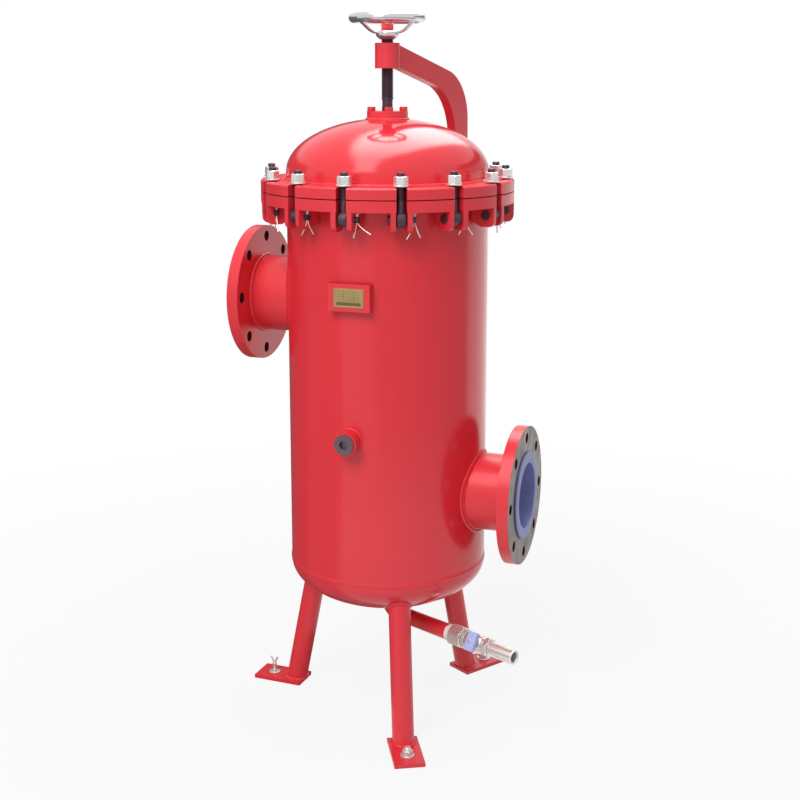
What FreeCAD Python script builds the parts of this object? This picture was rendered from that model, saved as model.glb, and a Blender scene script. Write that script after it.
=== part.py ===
import FreeCAD, Part
import math
import os

# Return line filter: a welded pressure vessel on three legs, with a bolted lid on a screw davit.
# The origin is on the vessel's axis at floor level. +Z is up, +X is the outlet, -X the inlet,
# and -Y is the front with the nameplate. Lengths are in millimetres and azimuths in degrees from +X.

# Vessel shell and lower head
shell_outer_d = 412.0
shell_wall = 6.0
seam_height = 335.0
shell_length = 754.5
lower_head_straight = 5.0
lower_head_depth = 92.0

# Main flanges, gasket and lid
flange_width = 51.5
flange_thickness = 22.0
flange_rim_chamfer = 3.0
gasket_thickness = 2.0
gasket_width = 19.0
lid_skirt = 15.0
lid_depth = 106.0

# Swing bolts with their hinge ears and pins
bolt_count = 14
first_bolt_azimuth = -90.0
bolt_circle_gap = 34.0
slot_width = 20.0
bolt_d = 16.0
bolt_tip = 7.0
nut_across = 24.0
nut_height = 16.0
nut_slack = 2.2
washer_d = 30.0
washer_thickness = 3.0
eye_d = 30.0
eye_thickness = 18.0
pin_d = 12.0
pin_drop = 14.5
pin_head_d = 18.0
pin_head_thickness = 4.0
pin_tail = 8.0
ear_thickness = 10.0
ear_gap = 22.0
ear_height = 38.0
ear_corner = 12.0
ear_throat = 22.0

# Lid boss, hub plate and its bolts
lid_boss_d = 83.0
lid_boss_rise = 3.0
lid_boss_depth = 22.5
hub_plate_thickness = 11.0
hub_bolt_count = 4
hub_bolt_azimuth = 25.0
hub_bolt_circle_d = 65.0
hub_bolt_d = 10.0
hub_bolt_across = 16.0
hub_bolt_head = 9.0
hub_bolt_grip = 12.0

# Lifting screw, thrust ring and handwheel
screw_d = 24.5
screw_neck_d = 21.0
screw_neck_length = 22.0
screw_collar_d = 44.0
screw_collar_thickness = 6.0
screw_float = 6.0
thrust_ring_thickness = 4.5
wheel_stub_d = 18.0
wheel_hub_gap = 6.5
wheel_hub_d = 46.0
wheel_hub_height = 17.0
wheel_hub_foot_d = 29.0
wheel_hub_lip = 5.0
wheel_d = 154.0
wheel_rim_d = 19.0
wheel_dish = 42.0
wheel_spoke_count = 3
wheel_spoke_azimuth = -10.0
wheel_spoke_width = 13.0
wheel_spoke_thickness = 5.0
wheel_spoke_bend = 39.0
wheel_nut_across = 24.0
wheel_nut_height = 15.0

# Davit
davit_azimuth = 77.14
davit_lift = 84.3
davit_boss_d = 50.0
davit_boss_height = 50.0
davit_plate = 20.0
davit_arm_depth = 43.0
davit_arm_slope = 14.0
davit_arm_inset = 3.0
davit_rim_gap = 2.5
davit_post_depth = 54.0
davit_inner_bend = 118.0
davit_outer_bend = 110.0
davit_collar_d = 64.0
davit_collar_thickness = 12.0
davit_foot_drop = 20.0
davit_post_d = 42.0
davit_post_length = 190.0
davit_socket_wall = 7.0
davit_socket_length = 160.0
davit_bracket_plate = 12.0
davit_bracket_width = 56.0
davit_bracket_length = 130.0

# Nozzles with their flanges, and the plug that closes the outlet for transport
nozzle_pipe_d = 159.0
nozzle_wall = 6.0
nozzle_flange_d = 285.0
nozzle_flange_thickness = 24.0
nozzle_bolt_circle_d = 240.0
nozzle_bolt_count = 8
nozzle_bolt_hole_d = 22.0
nozzle_hole_turn = 20.0
nozzle_reach = 300.0
inlet_rise = 551.0
outlet_rise = 158.0
plug_rim_d = 180.0
plug_rim_thickness = 4.0
plug_wall = 6.0
plug_depth = 34.0
plug_floor = 3.0
plug_taper = 2.5
plug_edge = 1.5

# Legs and foot plates
leg_azimuths = (-62.5, 57.5, 177.5)
leg_d = 45.0
leg_wall = 3.5
leg_splay = 11.5
leg_foot_spread = 17.0
foot_length = 112.0
foot_width = 62.0
foot_thickness = 8.0
foot_heel = 20.0
foot_hole_toe = 57.0
foot_hole_d = 14.0

# Drain pipe and ball valve
drain_azimuth = -25.0
drain_pipe_d = 33.5
drain_wall = 3.5
drain_drop = 35.0
drain_bend = 34.0
drain_pipe_reach = 200.0
drain_thread_depth = 10.0
valve_hex_across = 41.0
valve_hex_length = 32.0
valve_barrel_d = 39.0
valve_barrel_length = 58.0
valve_neck_d = 33.0
valve_neck_length = 6.0
valve_shoulder = 7.0
valve_ball_d = 30.0
valve_ball_back = 20.0
valve_bore_d = 20.0
valve_cap_across = 36.0
valve_cap_length = 12.0
valve_stem_tilt = 28.0
valve_stem_d = 9.0
valve_boss_d = 16.0
valve_boss_reach = 27.0
valve_stem_reach = 36.0
valve_handle_length = 42.0
valve_handle_width = 24.0
valve_handle_sheet = 3.0
valve_handle_skirt = 11.0
spigot_d = 30.0
spigot_bevel = 1.0
spigot_neck_d = 26.0
spigot_wall = 3.0
spigot_length = 62.0
spigot_engaged = 10.0

# Nameplate and gauge port
nameplate_rise = 587.0
holder_width = 86.0
holder_height = 54.0
holder_sheet = 3.0
holder_standoff = 16.0
nameplate_width = 62.0
nameplate_height = 37.0
nameplate_thickness = 1.0
port_rise = 299.0
port_offset = -6.0
port_boss_d = 49.0
port_reach = 30.0
port_plug_d = 40.0
port_plug_head = 4.0
port_plug_key = 17.0
port_thread_d = 33.0
port_thread_length = 18.0

# Inside: support ring, tube sheet, filter elements, hold-down plate and bypass valve
sheet_rise = 265.0
support_ring_width = 20.0
support_ring_thickness = 12.0
sheet_thickness = 14.0
element_count = 6
element_circle_d = 240.0
element_d = 96.0
element_length = 430.0
element_cap_thickness = 10.0
element_pleats = 24
element_pleat_depth = 12.0
element_bore_d = 40.0
element_spigot = 10.0
hold_down_gap = 14.0
hold_down_thickness = 8.0
tie_rod_count = 3
tie_rod_inset = 32.0
tie_rod_d = 12.0
tie_nut_across = 19.0
tie_nut_height = 10.0
bypass_seat_d = 60.0
bypass_body_d = 86.0
bypass_body_flange = 8.0
bypass_cage_length = 60.0
bypass_cage_wall = 4.0
bypass_poppet_thickness = 6.0
bypass_guide_d = 12.0
bypass_spring_discs = 6
bypass_spring_sheet = 1.5

# Hexagons: the share of their width that the flat end keeps, and the cone that turns off their corners
hex_land = 0.95
hex_cone = 30.0

# Clearances
run_gap = 0.05
weld_gap = 0.2
seat_gap = 0.3

# Sizes that follow from the ones above
shell_r = shell_outer_d / 2
bore_r = shell_r - shell_wall
flange_r = shell_r + flange_width
body_flange_z = seam_height + shell_length
gasket_z = body_flange_z + flange_thickness
lid_flange_z = gasket_z + gasket_thickness
lid_z = lid_flange_z + flange_thickness
lid_apex_z = lid_z + lid_skirt + lid_depth
head_bottom_z = seam_height - lower_head_straight - lower_head_depth
bolt_r = shell_r + bolt_circle_gap
pin_z = body_flange_z - pin_drop
bolt_step = 360.0 / bolt_count
washer_z = lid_z + nut_slack
nut_z = washer_z + washer_thickness
bolt_top_z = nut_z + nut_height + bolt_tip
lid_boss_z = lid_apex_z + lid_boss_rise
chamber_floor_z = lid_boss_z - screw_collar_thickness - thrust_ring_thickness - screw_float
hub_top_z = lid_boss_z + hub_plate_thickness
davit_boss_z = hub_top_z + davit_lift
davit_boss_top_z = davit_boss_z + davit_boss_height
wheel_z = davit_boss_top_z + wheel_hub_gap
inlet_z = seam_height + inlet_rise
outlet_z = seam_height + outlet_rise
nozzle_bore_r = nozzle_pipe_d / 2 - nozzle_wall
leg_foot_r = shell_r + leg_foot_spread
foot_inner_r = leg_foot_r - foot_heel
foot_hole_r = leg_foot_r + foot_hole_toe
drain_z = head_bottom_z - drain_drop
valve_start = drain_pipe_reach - drain_thread_depth
valve_barrel_start = valve_start + valve_hex_length
ball_reach = valve_barrel_start + valve_barrel_length - valve_ball_back
valve_cap_start = valve_barrel_start + valve_barrel_length
spigot_start = valve_cap_start + valve_cap_length - spigot_engaged
sheet_z = seam_height + sheet_rise
sheet_top_z = sheet_z + sheet_thickness
element_top_z = sheet_top_z + element_length
tie_rod_r = bore_r - tie_rod_inset

UP = FreeCAD.Vector(0, 0, 1)
DOWN = FreeCAD.Vector(0, 0, -1)
ALONG_X = FreeCAD.Vector(1, 0, 0)
FRONT = FreeCAD.Vector(0, -1, 0)
ORIGIN = FreeCAD.Vector(0, 0, 0)


def point(x, y, z):
    return FreeCAD.Vector(x, y, z)


def polar(radius, azimuth, z):
    angle = math.radians(azimuth)
    return FreeCAD.Vector(radius * math.cos(angle), radius * math.sin(angle), z)


def bar(diameter, length, start=ORIGIN, along=UP):
    return Part.makeCylinder(diameter / 2, length, start, along)


def tube(outer_d, inner_d, length, start=ORIGIN, along=UP):
    return bar(outer_d, length, start, along).cut(bar(inner_d, length, start, along))


def hex_bar(across, length, start=ORIGIN, along=UP):
    """A hexagonal bar across its flats, carried from start along a direction."""
    corner = across / math.sqrt(3)
    corners = [polar(corner, 60 * k, 0) for k in range(7)]
    solid = Part.Face(Part.makePolygon(corners)).extrude(UP * length)
    solid.Placement = FreeCAD.Placement(start, FreeCAD.Rotation(UP, along))
    return solid


def chamfered_hex(across, length, start=ORIGIN, along=UP):
    """A hexagonal bar whose corners are turned off by a cone at both ends."""
    corner = across / math.sqrt(3)
    land = hex_land * across / 2
    rise = (corner - land) * math.tan(math.radians(hex_cone))
    form = turned([(0, 0), (land, 0), (corner, rise), (corner, length - rise), (land, length), (0, length)])
    form.Placement = FreeCAD.Placement(start, FreeCAD.Rotation(UP, along))
    return hex_bar(across, length, start, along).common(form)


def block(x0, x1, y0, y1, z0, z1):
    return Part.makeBox(x1 - x0, y1 - y0, z1 - z0, point(x0, y0, z0))


def turned(corners):
    """A profile of (radius, height) corners turned about the vertical axis."""
    points = [point(r, 0, z) for r, z in corners]
    face = Part.Face(Part.makePolygon(points + points[:1]))
    return face.revolve(ORIGIN, UP, 360)


def round_z(shape, azimuth):
    """A copy of a shape, turned about the vessel's axis."""
    return shape.copy().rotate(ORIGIN, UP, azimuth)


def bolt_azimuths():
    return [first_bolt_azimuth + bolt_step * k for k in range(bolt_count)]


def save(node, solids):
    """Writes one sub-part, as a single solid or as a group of separate ones."""
    shape = solids if hasattr(solids, "ShapeType") else Part.makeCompound(solids)
    shape.exportStep(f"parts/{node}.step")


def arc_of_head(radius, depth, base_z, way):
    """A quarter ellipse from the rim of a dished head to its apex; way is 1 up or -1 down."""
    centre = point(0, 0, base_z)
    ellipse = Part.Ellipse(point(radius, 0, base_z), point(0, 0, base_z + way * depth), centre)
    return Part.ArcOfEllipse(ellipse, 0, math.pi / 2).toShape()


def dished_head(radius, wall, depth, straight, base_z, way):
    """A dished head: a straight skirt and an elliptical dome of even wall."""
    spring_z = base_z + way * straight
    outer = arc_of_head(radius, depth, spring_z, way)
    inner = arc_of_head(radius - wall, depth - wall, spring_z, way)
    apex_outer = point(0, 0, spring_z + way * depth)
    apex_inner = point(0, 0, spring_z + way * (depth - wall))
    edges = [
        Part.makeLine(point(radius, 0, base_z), point(radius, 0, spring_z)),
        outer,
        Part.makeLine(apex_outer, apex_inner),
        inner,
        Part.makeLine(point(radius - wall, 0, spring_z), point(radius - wall, 0, base_z)),
        Part.makeLine(point(radius - wall, 0, base_z), point(radius, 0, base_z)),
    ]
    face = Part.Face(Part.Wire(Part.__sortEdges__(edges)))
    return face.revolve(ORIGIN, UP, 360)


def solid_head(radius, depth, straight, base_z, way):
    """The outer form of a dished head as a full solid, for trimming what meets it."""
    spring_z = base_z + way * straight
    apex = point(0, 0, spring_z + way * depth)
    edges = [
        Part.makeLine(point(radius, 0, base_z), point(radius, 0, spring_z)),
        arc_of_head(radius, depth, spring_z, way),
        Part.makeLine(apex, point(0, 0, base_z)),
        Part.makeLine(point(0, 0, base_z), point(radius, 0, base_z)),
    ]
    face = Part.Face(Part.Wire(Part.__sortEdges__(edges)))
    return face.revolve(ORIGIN, UP, 360)


def lower_head_form(grown):
    """The lower head's outer form, grown by a weld gap."""
    return solid_head(shell_r + grown, lower_head_depth + grown, lower_head_straight, seam_height, -1)


def make_vessel_shell():
    shell = tube(shell_outer_d, bore_r * 2, shell_length, point(0, 0, seam_height))
    reach = shell_r + shell_wall
    outlet_hole = bar(nozzle_bore_r * 2, reach, point(0, 0, outlet_z), ALONG_X)
    inlet_hole = bar(nozzle_bore_r * 2, reach, point(0, 0, inlet_z), ALONG_X * -1)
    port_hole = bar(port_thread_d, reach, point(port_offset, 0, seam_height + port_rise), FRONT)
    return shell.cut(outlet_hole).cut(inlet_hole).cut(port_hole)


def make_lower_head():
    head = dished_head(shell_r, shell_wall, lower_head_depth, lower_head_straight, seam_height, -1)
    drain_hole = bar(drain_pipe_d - 2 * drain_wall, shell_wall * 3, point(0, 0, head_bottom_z - shell_wall))
    return head.cut(drain_hole)


def flange_slots(base_z):
    """The open slots that let the swing bolts lie in a main flange."""
    height = flange_thickness
    open_end = flange_r - bolt_r + slot_width
    pieces = []
    for azimuth in bolt_azimuths():
        throat = block(bolt_r, bolt_r + open_end, -slot_width / 2, slot_width / 2, base_z, base_z + height)
        inner_end = bar(slot_width, height, point(bolt_r, 0, base_z))
        pieces.append(round_z(throat.fuse(inner_end), azimuth))
    return pieces


def make_body_flange():
    ring = tube(flange_r * 2, bore_r * 2, flange_thickness, point(0, 0, body_flange_z))
    return ring.cut(flange_slots(body_flange_z))


def make_lid_flange():
    rim = flange_rim_chamfer
    ring = turned([
        (bore_r, lid_flange_z),
        (flange_r, lid_flange_z),
        (flange_r, lid_z - rim),
        (flange_r - rim, lid_z),
        (bore_r, lid_z),
    ])
    return ring.cut(flange_slots(lid_flange_z))


def make_gasket():
    return tube(2 * (shell_r + gasket_width), bore_r * 2, gasket_thickness, point(0, 0, gasket_z))


def make_hinge_ears():
    """Pairs of plates under the body flange, one pair to a swing bolt, drilled for its pin."""
    top = body_flange_z
    low = top - ear_height
    inner = shell_r + seat_gap
    corner_r = ear_corner
    side = [
        Part.makeLine(point(inner, 0, top), point(flange_r, 0, top)),
        Part.makeLine(point(flange_r, 0, top), point(flange_r, 0, low + corner_r)),
        Part.Arc(
            point(flange_r, 0, low + corner_r),
            point(flange_r - corner_r * (1 - math.sqrt(0.5)), 0, low + corner_r * (1 - math.sqrt(0.5))),
            point(flange_r - corner_r, 0, low),
        ).toShape(),
        Part.makeLine(point(flange_r - corner_r, 0, low), point(inner + ear_throat, 0, low)),
        Part.makeLine(point(inner + ear_throat, 0, low), point(inner, 0, low + ear_throat / 2)),
        Part.makeLine(point(inner, 0, low + ear_throat / 2), point(inner, 0, top)),
    ]
    face = Part.Face(Part.Wire(side))
    ear = face.extrude(point(0, ear_thickness, 0))
    ear = ear.cut(bar(pin_d + 2 * run_gap, ear_thickness, point(bolt_r, 0, pin_z), point(0, 1, 0)))
    shell_form = bar(2 * inner, ear_height * 2, point(0, 0, low - ear_height / 2))
    ears = []
    for azimuth in bolt_azimuths():
        for offset in (ear_gap / 2, -ear_gap / 2 - ear_thickness):
            plate = ear.copy()
            plate.translate(point(0, offset, 0))
            ears.append(round_z(plate.cut(shell_form), azimuth))
    return ears


def make_hinge_pins():
    half = ear_gap / 2 + ear_thickness
    across = point(0, 1, 0)
    pin = bar(pin_d, 2 * half + pin_tail, point(bolt_r, -half, pin_z), across)
    head = bar(pin_head_d, pin_head_thickness, point(bolt_r, -half - pin_head_thickness, pin_z), across)
    pin = pin.fuse(head)
    return [round_z(pin, azimuth) for azimuth in bolt_azimuths()]


def make_swing_bolt(azimuth):
    """An eye bolt on its pin, with the washer and nut that clamp the lid."""
    across = point(0, 1, 0)
    eye = bar(eye_d, eye_thickness, point(bolt_r, -eye_thickness / 2, pin_z), across)
    shank = bar(bolt_d, bolt_top_z - pin_z, point(bolt_r, 0, pin_z))
    pin_hole = bar(pin_d + 2 * run_gap, eye_thickness, point(bolt_r, -eye_thickness / 2, pin_z), across)
    bolt = eye.fuse(shank).cut(pin_hole)
    hole_d = bolt_d + 2 * run_gap
    washer = tube(washer_d, hole_d, washer_thickness, point(bolt_r, 0, washer_z))
    nut_foot = point(bolt_r, 0, nut_z)
    nut = hex_bar(nut_across, nut_height, nut_foot).cut(bar(hole_d, nut_height, nut_foot))
    return [round_z(piece, azimuth) for piece in (bolt, washer, nut)]


def make_lid_dome():
    dome = dished_head(shell_r, shell_wall, lid_depth, lid_skirt, lid_z, 1)
    foot = point(0, 0, lid_boss_z - lid_boss_depth - shell_wall)
    boss_hole = bar(lid_boss_d + 2 * weld_gap, lid_boss_depth + 2 * shell_wall, foot)
    return dome.cut(boss_hole)


def hub_bolt_places(z):
    step = 360.0 / hub_bolt_count
    return [polar(hub_bolt_circle_d / 2, hub_bolt_azimuth + step * k, z) for k in range(hub_bolt_count)]


def make_lid_boss():
    boss = bar(lid_boss_d, lid_boss_depth, point(0, 0, lid_boss_z - lid_boss_depth))
    chamber_d = screw_collar_d + 2 * seat_gap
    boss = boss.cut(bar(chamber_d, lid_boss_z - chamber_floor_z, point(0, 0, chamber_floor_z)))
    for place in hub_bolt_places(lid_boss_z - hub_bolt_grip):
        boss = boss.cut(bar(hub_bolt_d + 2 * run_gap, hub_bolt_grip, place))
    return boss


def make_hub_plate():
    plate = tube(lid_boss_d, screw_neck_d + 2 * run_gap, hub_plate_thickness, point(0, 0, lid_boss_z))
    for place in hub_bolt_places(lid_boss_z):
        plate = plate.cut(bar(hub_bolt_d + 2 * run_gap, hub_plate_thickness, place))
    return plate


def make_hub_bolts():
    bolts = []
    shank_length = hub_plate_thickness + hub_bolt_grip
    for place in hub_bolt_places(hub_top_z):
        head = chamfered_hex(hub_bolt_across, hub_bolt_head, place)
        shank = bar(hub_bolt_d, shank_length, place, DOWN)
        bolts.append(head.fuse(shank))
    return bolts


def make_thrust_ring():
    foot = point(0, 0, chamber_floor_z + screw_collar_thickness)
    return tube(screw_collar_d, screw_neck_d + 2 * run_gap, thrust_ring_thickness, foot)


def make_lift_screw():
    """The screw: a foot collar, a neck through the hub plate, the thread and the wheel's stub."""
    neck_top_z = hub_top_z + screw_neck_length
    thread_top_z = wheel_z
    collar_top_z = chamber_floor_z + screw_collar_thickness
    stub_top_z = wheel_z + wheel_hub_height + wheel_nut_height + wheel_spoke_thickness / 2
    return turned([
        (0, chamber_floor_z),
        (screw_collar_d / 2, chamber_floor_z),
        (screw_collar_d / 2, collar_top_z),
        (screw_neck_d / 2, collar_top_z),
        (screw_neck_d / 2, neck_top_z),
        (screw_d / 2, neck_top_z + (screw_d - screw_neck_d) / 2),
        (screw_d / 2, thread_top_z),
        (wheel_stub_d / 2, thread_top_z),
        (wheel_stub_d / 2, stub_top_z),
        (0, stub_top_z),
    ])


def make_handwheel():
    """A dished handwheel: a cup-like hub, three bent spokes and a round rim."""
    hub_r = wheel_hub_d / 2
    top_z = wheel_z + wheel_hub_height
    hub = turned([
        (0, wheel_z),
        (wheel_hub_foot_d / 2, wheel_z),
        (hub_r, top_z - 2 * wheel_hub_lip),
        (hub_r, top_z - wheel_hub_lip / 2),
        (hub_r - wheel_hub_lip / 2, top_z),
        (0, top_z),
    ])
    rim_r = (wheel_d - wheel_rim_d) / 2
    rim_z = wheel_z + wheel_dish
    wheel = hub.fuse(Part.makeTorus(rim_r, wheel_rim_d / 2, point(0, 0, rim_z)))
    foot_z = top_z - wheel_hub_lip / 2 - wheel_spoke_thickness
    hub_edge = hub_r - wheel_spoke_thickness
    side = [
        (hub_edge, foot_z),
        (wheel_spoke_bend, foot_z + wheel_spoke_thickness),
        (rim_r, rim_z - wheel_spoke_thickness),
        (rim_r - wheel_spoke_thickness, rim_z),
        (wheel_spoke_bend - wheel_spoke_thickness, foot_z + 2 * wheel_spoke_thickness),
        (hub_edge, foot_z + wheel_spoke_thickness),
    ]
    points = [point(r, -wheel_spoke_width / 2, z) for r, z in side]
    spoke = Part.Face(Part.makePolygon(points + points[:1])).extrude(point(0, wheel_spoke_width, 0))
    for k in range(wheel_spoke_count):
        wheel = wheel.fuse(round_z(spoke, wheel_spoke_azimuth + 360.0 / wheel_spoke_count * k))
    return wheel.cut(bar(wheel_stub_d + 2 * run_gap, wheel_hub_height, point(0, 0, wheel_z)))


def make_wheel_nut():
    foot = point(0, 0, wheel_z + wheel_hub_height)
    hole = bar(wheel_stub_d + 2 * run_gap, wheel_nut_height, foot)
    return chamfered_hex(wheel_nut_across, wheel_nut_height, foot).cut(hole)


def bent_edge(start, corner, end, radius):
    """A line, an arc of the given radius round the corner, and a line on to the end."""
    back = (start - corner).normalize()
    ahead = (end - corner).normalize()
    half = back.getAngle(ahead) / 2
    run = radius / math.tan(half)
    centre = corner + (back + ahead).normalize() * (radius / math.sin(half))
    first = corner + back * run
    last = corner + ahead * run
    middle = centre + (corner - centre).normalize() * radius
    arc = Part.Arc(first, middle, last).toShape()
    return [Part.makeLine(start, first), arc, Part.makeLine(last, end)]


def davit_inner_r():
    return flange_r + davit_rim_gap


def davit_foot_z():
    return body_flange_z - davit_foot_drop


def make_davit_arm():
    """The screw's boss and the bent arm plate, one casting, from the axis out past the flanges."""
    fall = math.tan(math.radians(davit_arm_slope))
    boss_r = davit_boss_d / 2
    inner_r = davit_inner_r()
    outer_r = inner_r + davit_post_depth
    root_r = (boss_r + screw_d / 2) / 2
    half = -davit_plate / 2
    low_z = davit_boss_z + davit_arm_inset + boss_r * fall
    top_z = low_z + davit_arm_depth / math.cos(math.radians(davit_arm_slope))
    low_start = point(root_r, half, low_z - root_r * fall)
    low_corner = point(inner_r, half, low_z - inner_r * fall)
    low_end = point(inner_r, half, davit_foot_z())
    top_start = point(root_r, half, top_z - root_r * fall)
    top_corner = point(outer_r, half, top_z - outer_r * fall)
    top_end = point(outer_r, half, davit_foot_z())
    edges = bent_edge(low_start, low_corner, low_end, davit_inner_bend)
    edges.append(Part.makeLine(low_end, top_end))
    edges += bent_edge(top_end, top_corner, top_start, davit_outer_bend)
    edges.append(Part.makeLine(top_start, low_start))
    plate = Part.Face(Part.Wire(edges)).extrude(point(0, davit_plate, 0))
    boss = round_z(bar(davit_boss_d, davit_boss_height, point(0, 0, davit_boss_z)), 180)
    screw_hole = bar(screw_d + 2 * run_gap, davit_boss_height * 2, point(0, 0, davit_boss_z - boss_r))
    return round_z(plate.fuse(boss).cut(screw_hole), davit_azimuth)


def davit_post_r():
    return davit_inner_r() + davit_post_depth / 2


def make_davit_post():
    """The round post that turns in the socket, with the collar that carries the arm."""
    r = davit_post_r()
    collar = bar(davit_collar_d, davit_collar_thickness, polar(r, davit_azimuth, davit_foot_z()), DOWN)
    post = bar(davit_post_d, davit_post_length, polar(r, davit_azimuth, davit_foot_z()), DOWN)
    return collar.fuse(post)


def make_davit_socket():
    inner_d = davit_post_d + 2 * run_gap
    top = polar(davit_post_r(), davit_azimuth, davit_foot_z() - davit_collar_thickness)
    return tube(inner_d + 2 * davit_socket_wall, inner_d, davit_socket_length, top, DOWN)


def make_davit_bracket():
    """A welded bracket from the shell to the socket: a web between two cross plates."""
    r = davit_post_r()
    socket_r = davit_post_d / 2 + run_gap + davit_socket_wall + weld_gap
    top_z = davit_foot_z() - davit_collar_thickness - davit_bracket_plate
    low_z = top_z - davit_bracket_length
    web = block(0, r, -davit_bracket_plate / 2, davit_bracket_plate / 2, low_z, top_z)
    half = davit_bracket_width / 2
    top_plate = block(0, r, -half, half, top_z - davit_bracket_plate, top_z)
    low_plate = block(0, r, -half, half, low_z, low_z + davit_bracket_plate)
    bracket = web.fuse([top_plate, low_plate])
    tall = 2 * davit_bracket_length
    bracket = bracket.cut(bar(2 * (shell_r + weld_gap), tall, point(0, 0, low_z - davit_bracket_plate)))
    bracket = bracket.cut(bar(2 * socket_r, tall, point(r, 0, low_z - davit_bracket_plate)))
    return round_z(bracket, davit_azimuth)


def make_nozzle_pipe(centre_z, way):
    """A pipe stub from the shell to its flange; way is 1 towards +X or -1 towards -X."""
    reach = nozzle_reach - nozzle_flange_thickness
    pipe = tube(nozzle_pipe_d, nozzle_bore_r * 2, reach, point(0, 0, centre_z), ALONG_X * way)
    trim_foot = point(0, 0, centre_z - nozzle_pipe_d)
    return pipe.cut(bar(2 * (shell_r + weld_gap), nozzle_pipe_d * 2, trim_foot))


def make_nozzle_flange(centre_z, way):
    back = point(way * (nozzle_reach - nozzle_flange_thickness), 0, centre_z)
    along = ALONG_X * way
    flange = tube(nozzle_flange_d, nozzle_bore_r * 2, nozzle_flange_thickness, back, along)
    step = 360.0 / nozzle_bolt_count
    for k in range(nozzle_bolt_count):
        angle = math.radians(step * (k + 0.5) + nozzle_hole_turn)
        offset = point(0, math.cos(angle), math.sin(angle)) * (nozzle_bolt_circle_d / 2)
        flange = flange.cut(bar(nozzle_bolt_hole_d, nozzle_flange_thickness, back + offset, along))
    return flange


def make_outlet_plug():
    """A moulded cap: a rim on the flange face and a cup that enters the bore."""
    cup_r = nozzle_bore_r - seat_gap
    rim_r = plug_rim_d / 2
    face = nozzle_reach + seat_gap
    end = face + plug_rim_thickness
    cap = turned([
        (0, face - plug_depth),
        (cup_r - plug_taper, face - plug_depth),
        (cup_r, face),
        (rim_r, face),
        (rim_r, end - plug_edge),
        (rim_r - plug_edge, end),
        (cup_r - plug_wall + plug_edge, end),
        (cup_r - plug_wall, end - plug_edge),
        (cup_r - plug_wall - plug_taper, face - plug_depth + plug_floor),
        (0, face - plug_depth + plug_floor),
    ])
    cap.rotate(ORIGIN, point(0, 1, 0), 90)
    cap.translate(point(0, 0, outlet_z))
    return cap


def leg_axis(azimuth):
    """A leg's foot on its plate, and its direction up and in towards the head."""
    lean = math.radians(leg_splay)
    inward = polar(-math.sin(lean), azimuth, math.cos(lean))
    return polar(leg_foot_r, azimuth, foot_thickness), inward


def make_legs():
    legs = []
    head = lower_head_form(weld_gap)
    wide = foot_hole_r * 2
    floor = block(-wide, wide, -wide, wide, -seam_height, foot_thickness)
    for azimuth in leg_azimuths:
        foot, inward = leg_axis(azimuth)
        start = foot - inward * leg_d
        length = seam_height + leg_d
        outer = bar(leg_d, length, start, inward)
        inner = bar(leg_d - 2 * leg_wall, length, start, inward)
        pieces = outer.cut(inner).cut(head).cut(floor).Solids
        legs.append(min(pieces, key=lambda piece: piece.BoundBox.ZMin))
    return legs


def make_foot_plates():
    plates = []
    for azimuth in leg_azimuths:
        outer_r = foot_inner_r + foot_length
        plate = block(foot_inner_r, outer_r, -foot_width / 2, foot_width / 2, 0, foot_thickness)
        hole = bar(foot_hole_d, foot_thickness, point(foot_hole_r, 0, 0))
        plates.append(round_z(plate.cut(hole), azimuth))
    return plates


def drain_along():
    return polar(1, drain_azimuth, 0)


def drain_point(reach):
    return polar(reach, drain_azimuth, drain_z)


def swept_bend(diameter, top_z):
    """A round bar down the axis, round the bend and out along the drain's direction."""
    start = point(0, 0, top_z)
    edges = bent_edge(start, drain_point(0), drain_point(drain_pipe_reach), drain_bend)
    profile = Part.Wire(Part.makeCircle(diameter / 2, start, DOWN))
    return Part.Wire(edges).makePipeShell([profile], True, False)


def make_drain_pipe():
    top_z = head_bottom_z + shell_wall
    outer = swept_bend(drain_pipe_d, top_z)
    inner = swept_bend(drain_pipe_d - 2 * drain_wall, top_z)
    return outer.cut(inner).cut(lower_head_form(weld_gap))


def stem_direction():
    """The valve stem's direction: square to the pipe, towards the front and tilted up."""
    tilt = math.radians(valve_stem_tilt)
    return polar(math.cos(tilt), drain_azimuth - 90, math.sin(tilt))


def make_valve_barrel():
    """The valve's round middle: a neck at each end and shoulders up to the ball's housing."""
    neck_r = valve_neck_d / 2
    barrel_r = valve_barrel_d / 2
    length = valve_barrel_length
    barrel = turned([
        (0, 0),
        (neck_r, 0),
        (neck_r, valve_neck_length),
        (barrel_r, valve_neck_length + valve_shoulder),
        (barrel_r, length - valve_neck_length - valve_shoulder),
        (neck_r, length - valve_neck_length),
        (neck_r, length),
        (0, length),
    ])
    barrel.Placement = FreeCAD.Placement(drain_point(valve_barrel_start), FreeCAD.Rotation(UP, drain_along()))
    return barrel


def make_valve_body():
    along = drain_along()
    centre = drain_point(ball_reach)
    body = chamfered_hex(valve_hex_across, valve_hex_length, drain_point(valve_start), along)
    body = body.fuse(make_valve_barrel())
    body = body.fuse(chamfered_hex(valve_cap_across, valve_cap_length, drain_point(valve_cap_start), along))
    body = body.fuse(bar(valve_boss_d, valve_boss_reach, centre, stem_direction()))
    socket = bar(drain_pipe_d + 2 * run_gap, drain_thread_depth, drain_point(valve_start), along)
    full_length = valve_hex_length + valve_barrel_length + valve_cap_length
    bore = bar(valve_bore_d, full_length, drain_point(valve_start), along)
    cavity = Part.makeSphere(valve_ball_d / 2 + seat_gap, centre, along)
    stem_hole = bar(valve_stem_d + 2 * run_gap, valve_boss_reach, centre, stem_direction())
    end_socket = bar(spigot_neck_d + 2 * run_gap, spigot_engaged, drain_point(spigot_start), along)
    return body.cut([socket, bore, cavity, stem_hole, end_socket])


def stem_foot_reach():
    """How far above the ball's centre its stem ends."""
    return (valve_ball_d - valve_stem_d) / 2


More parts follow.
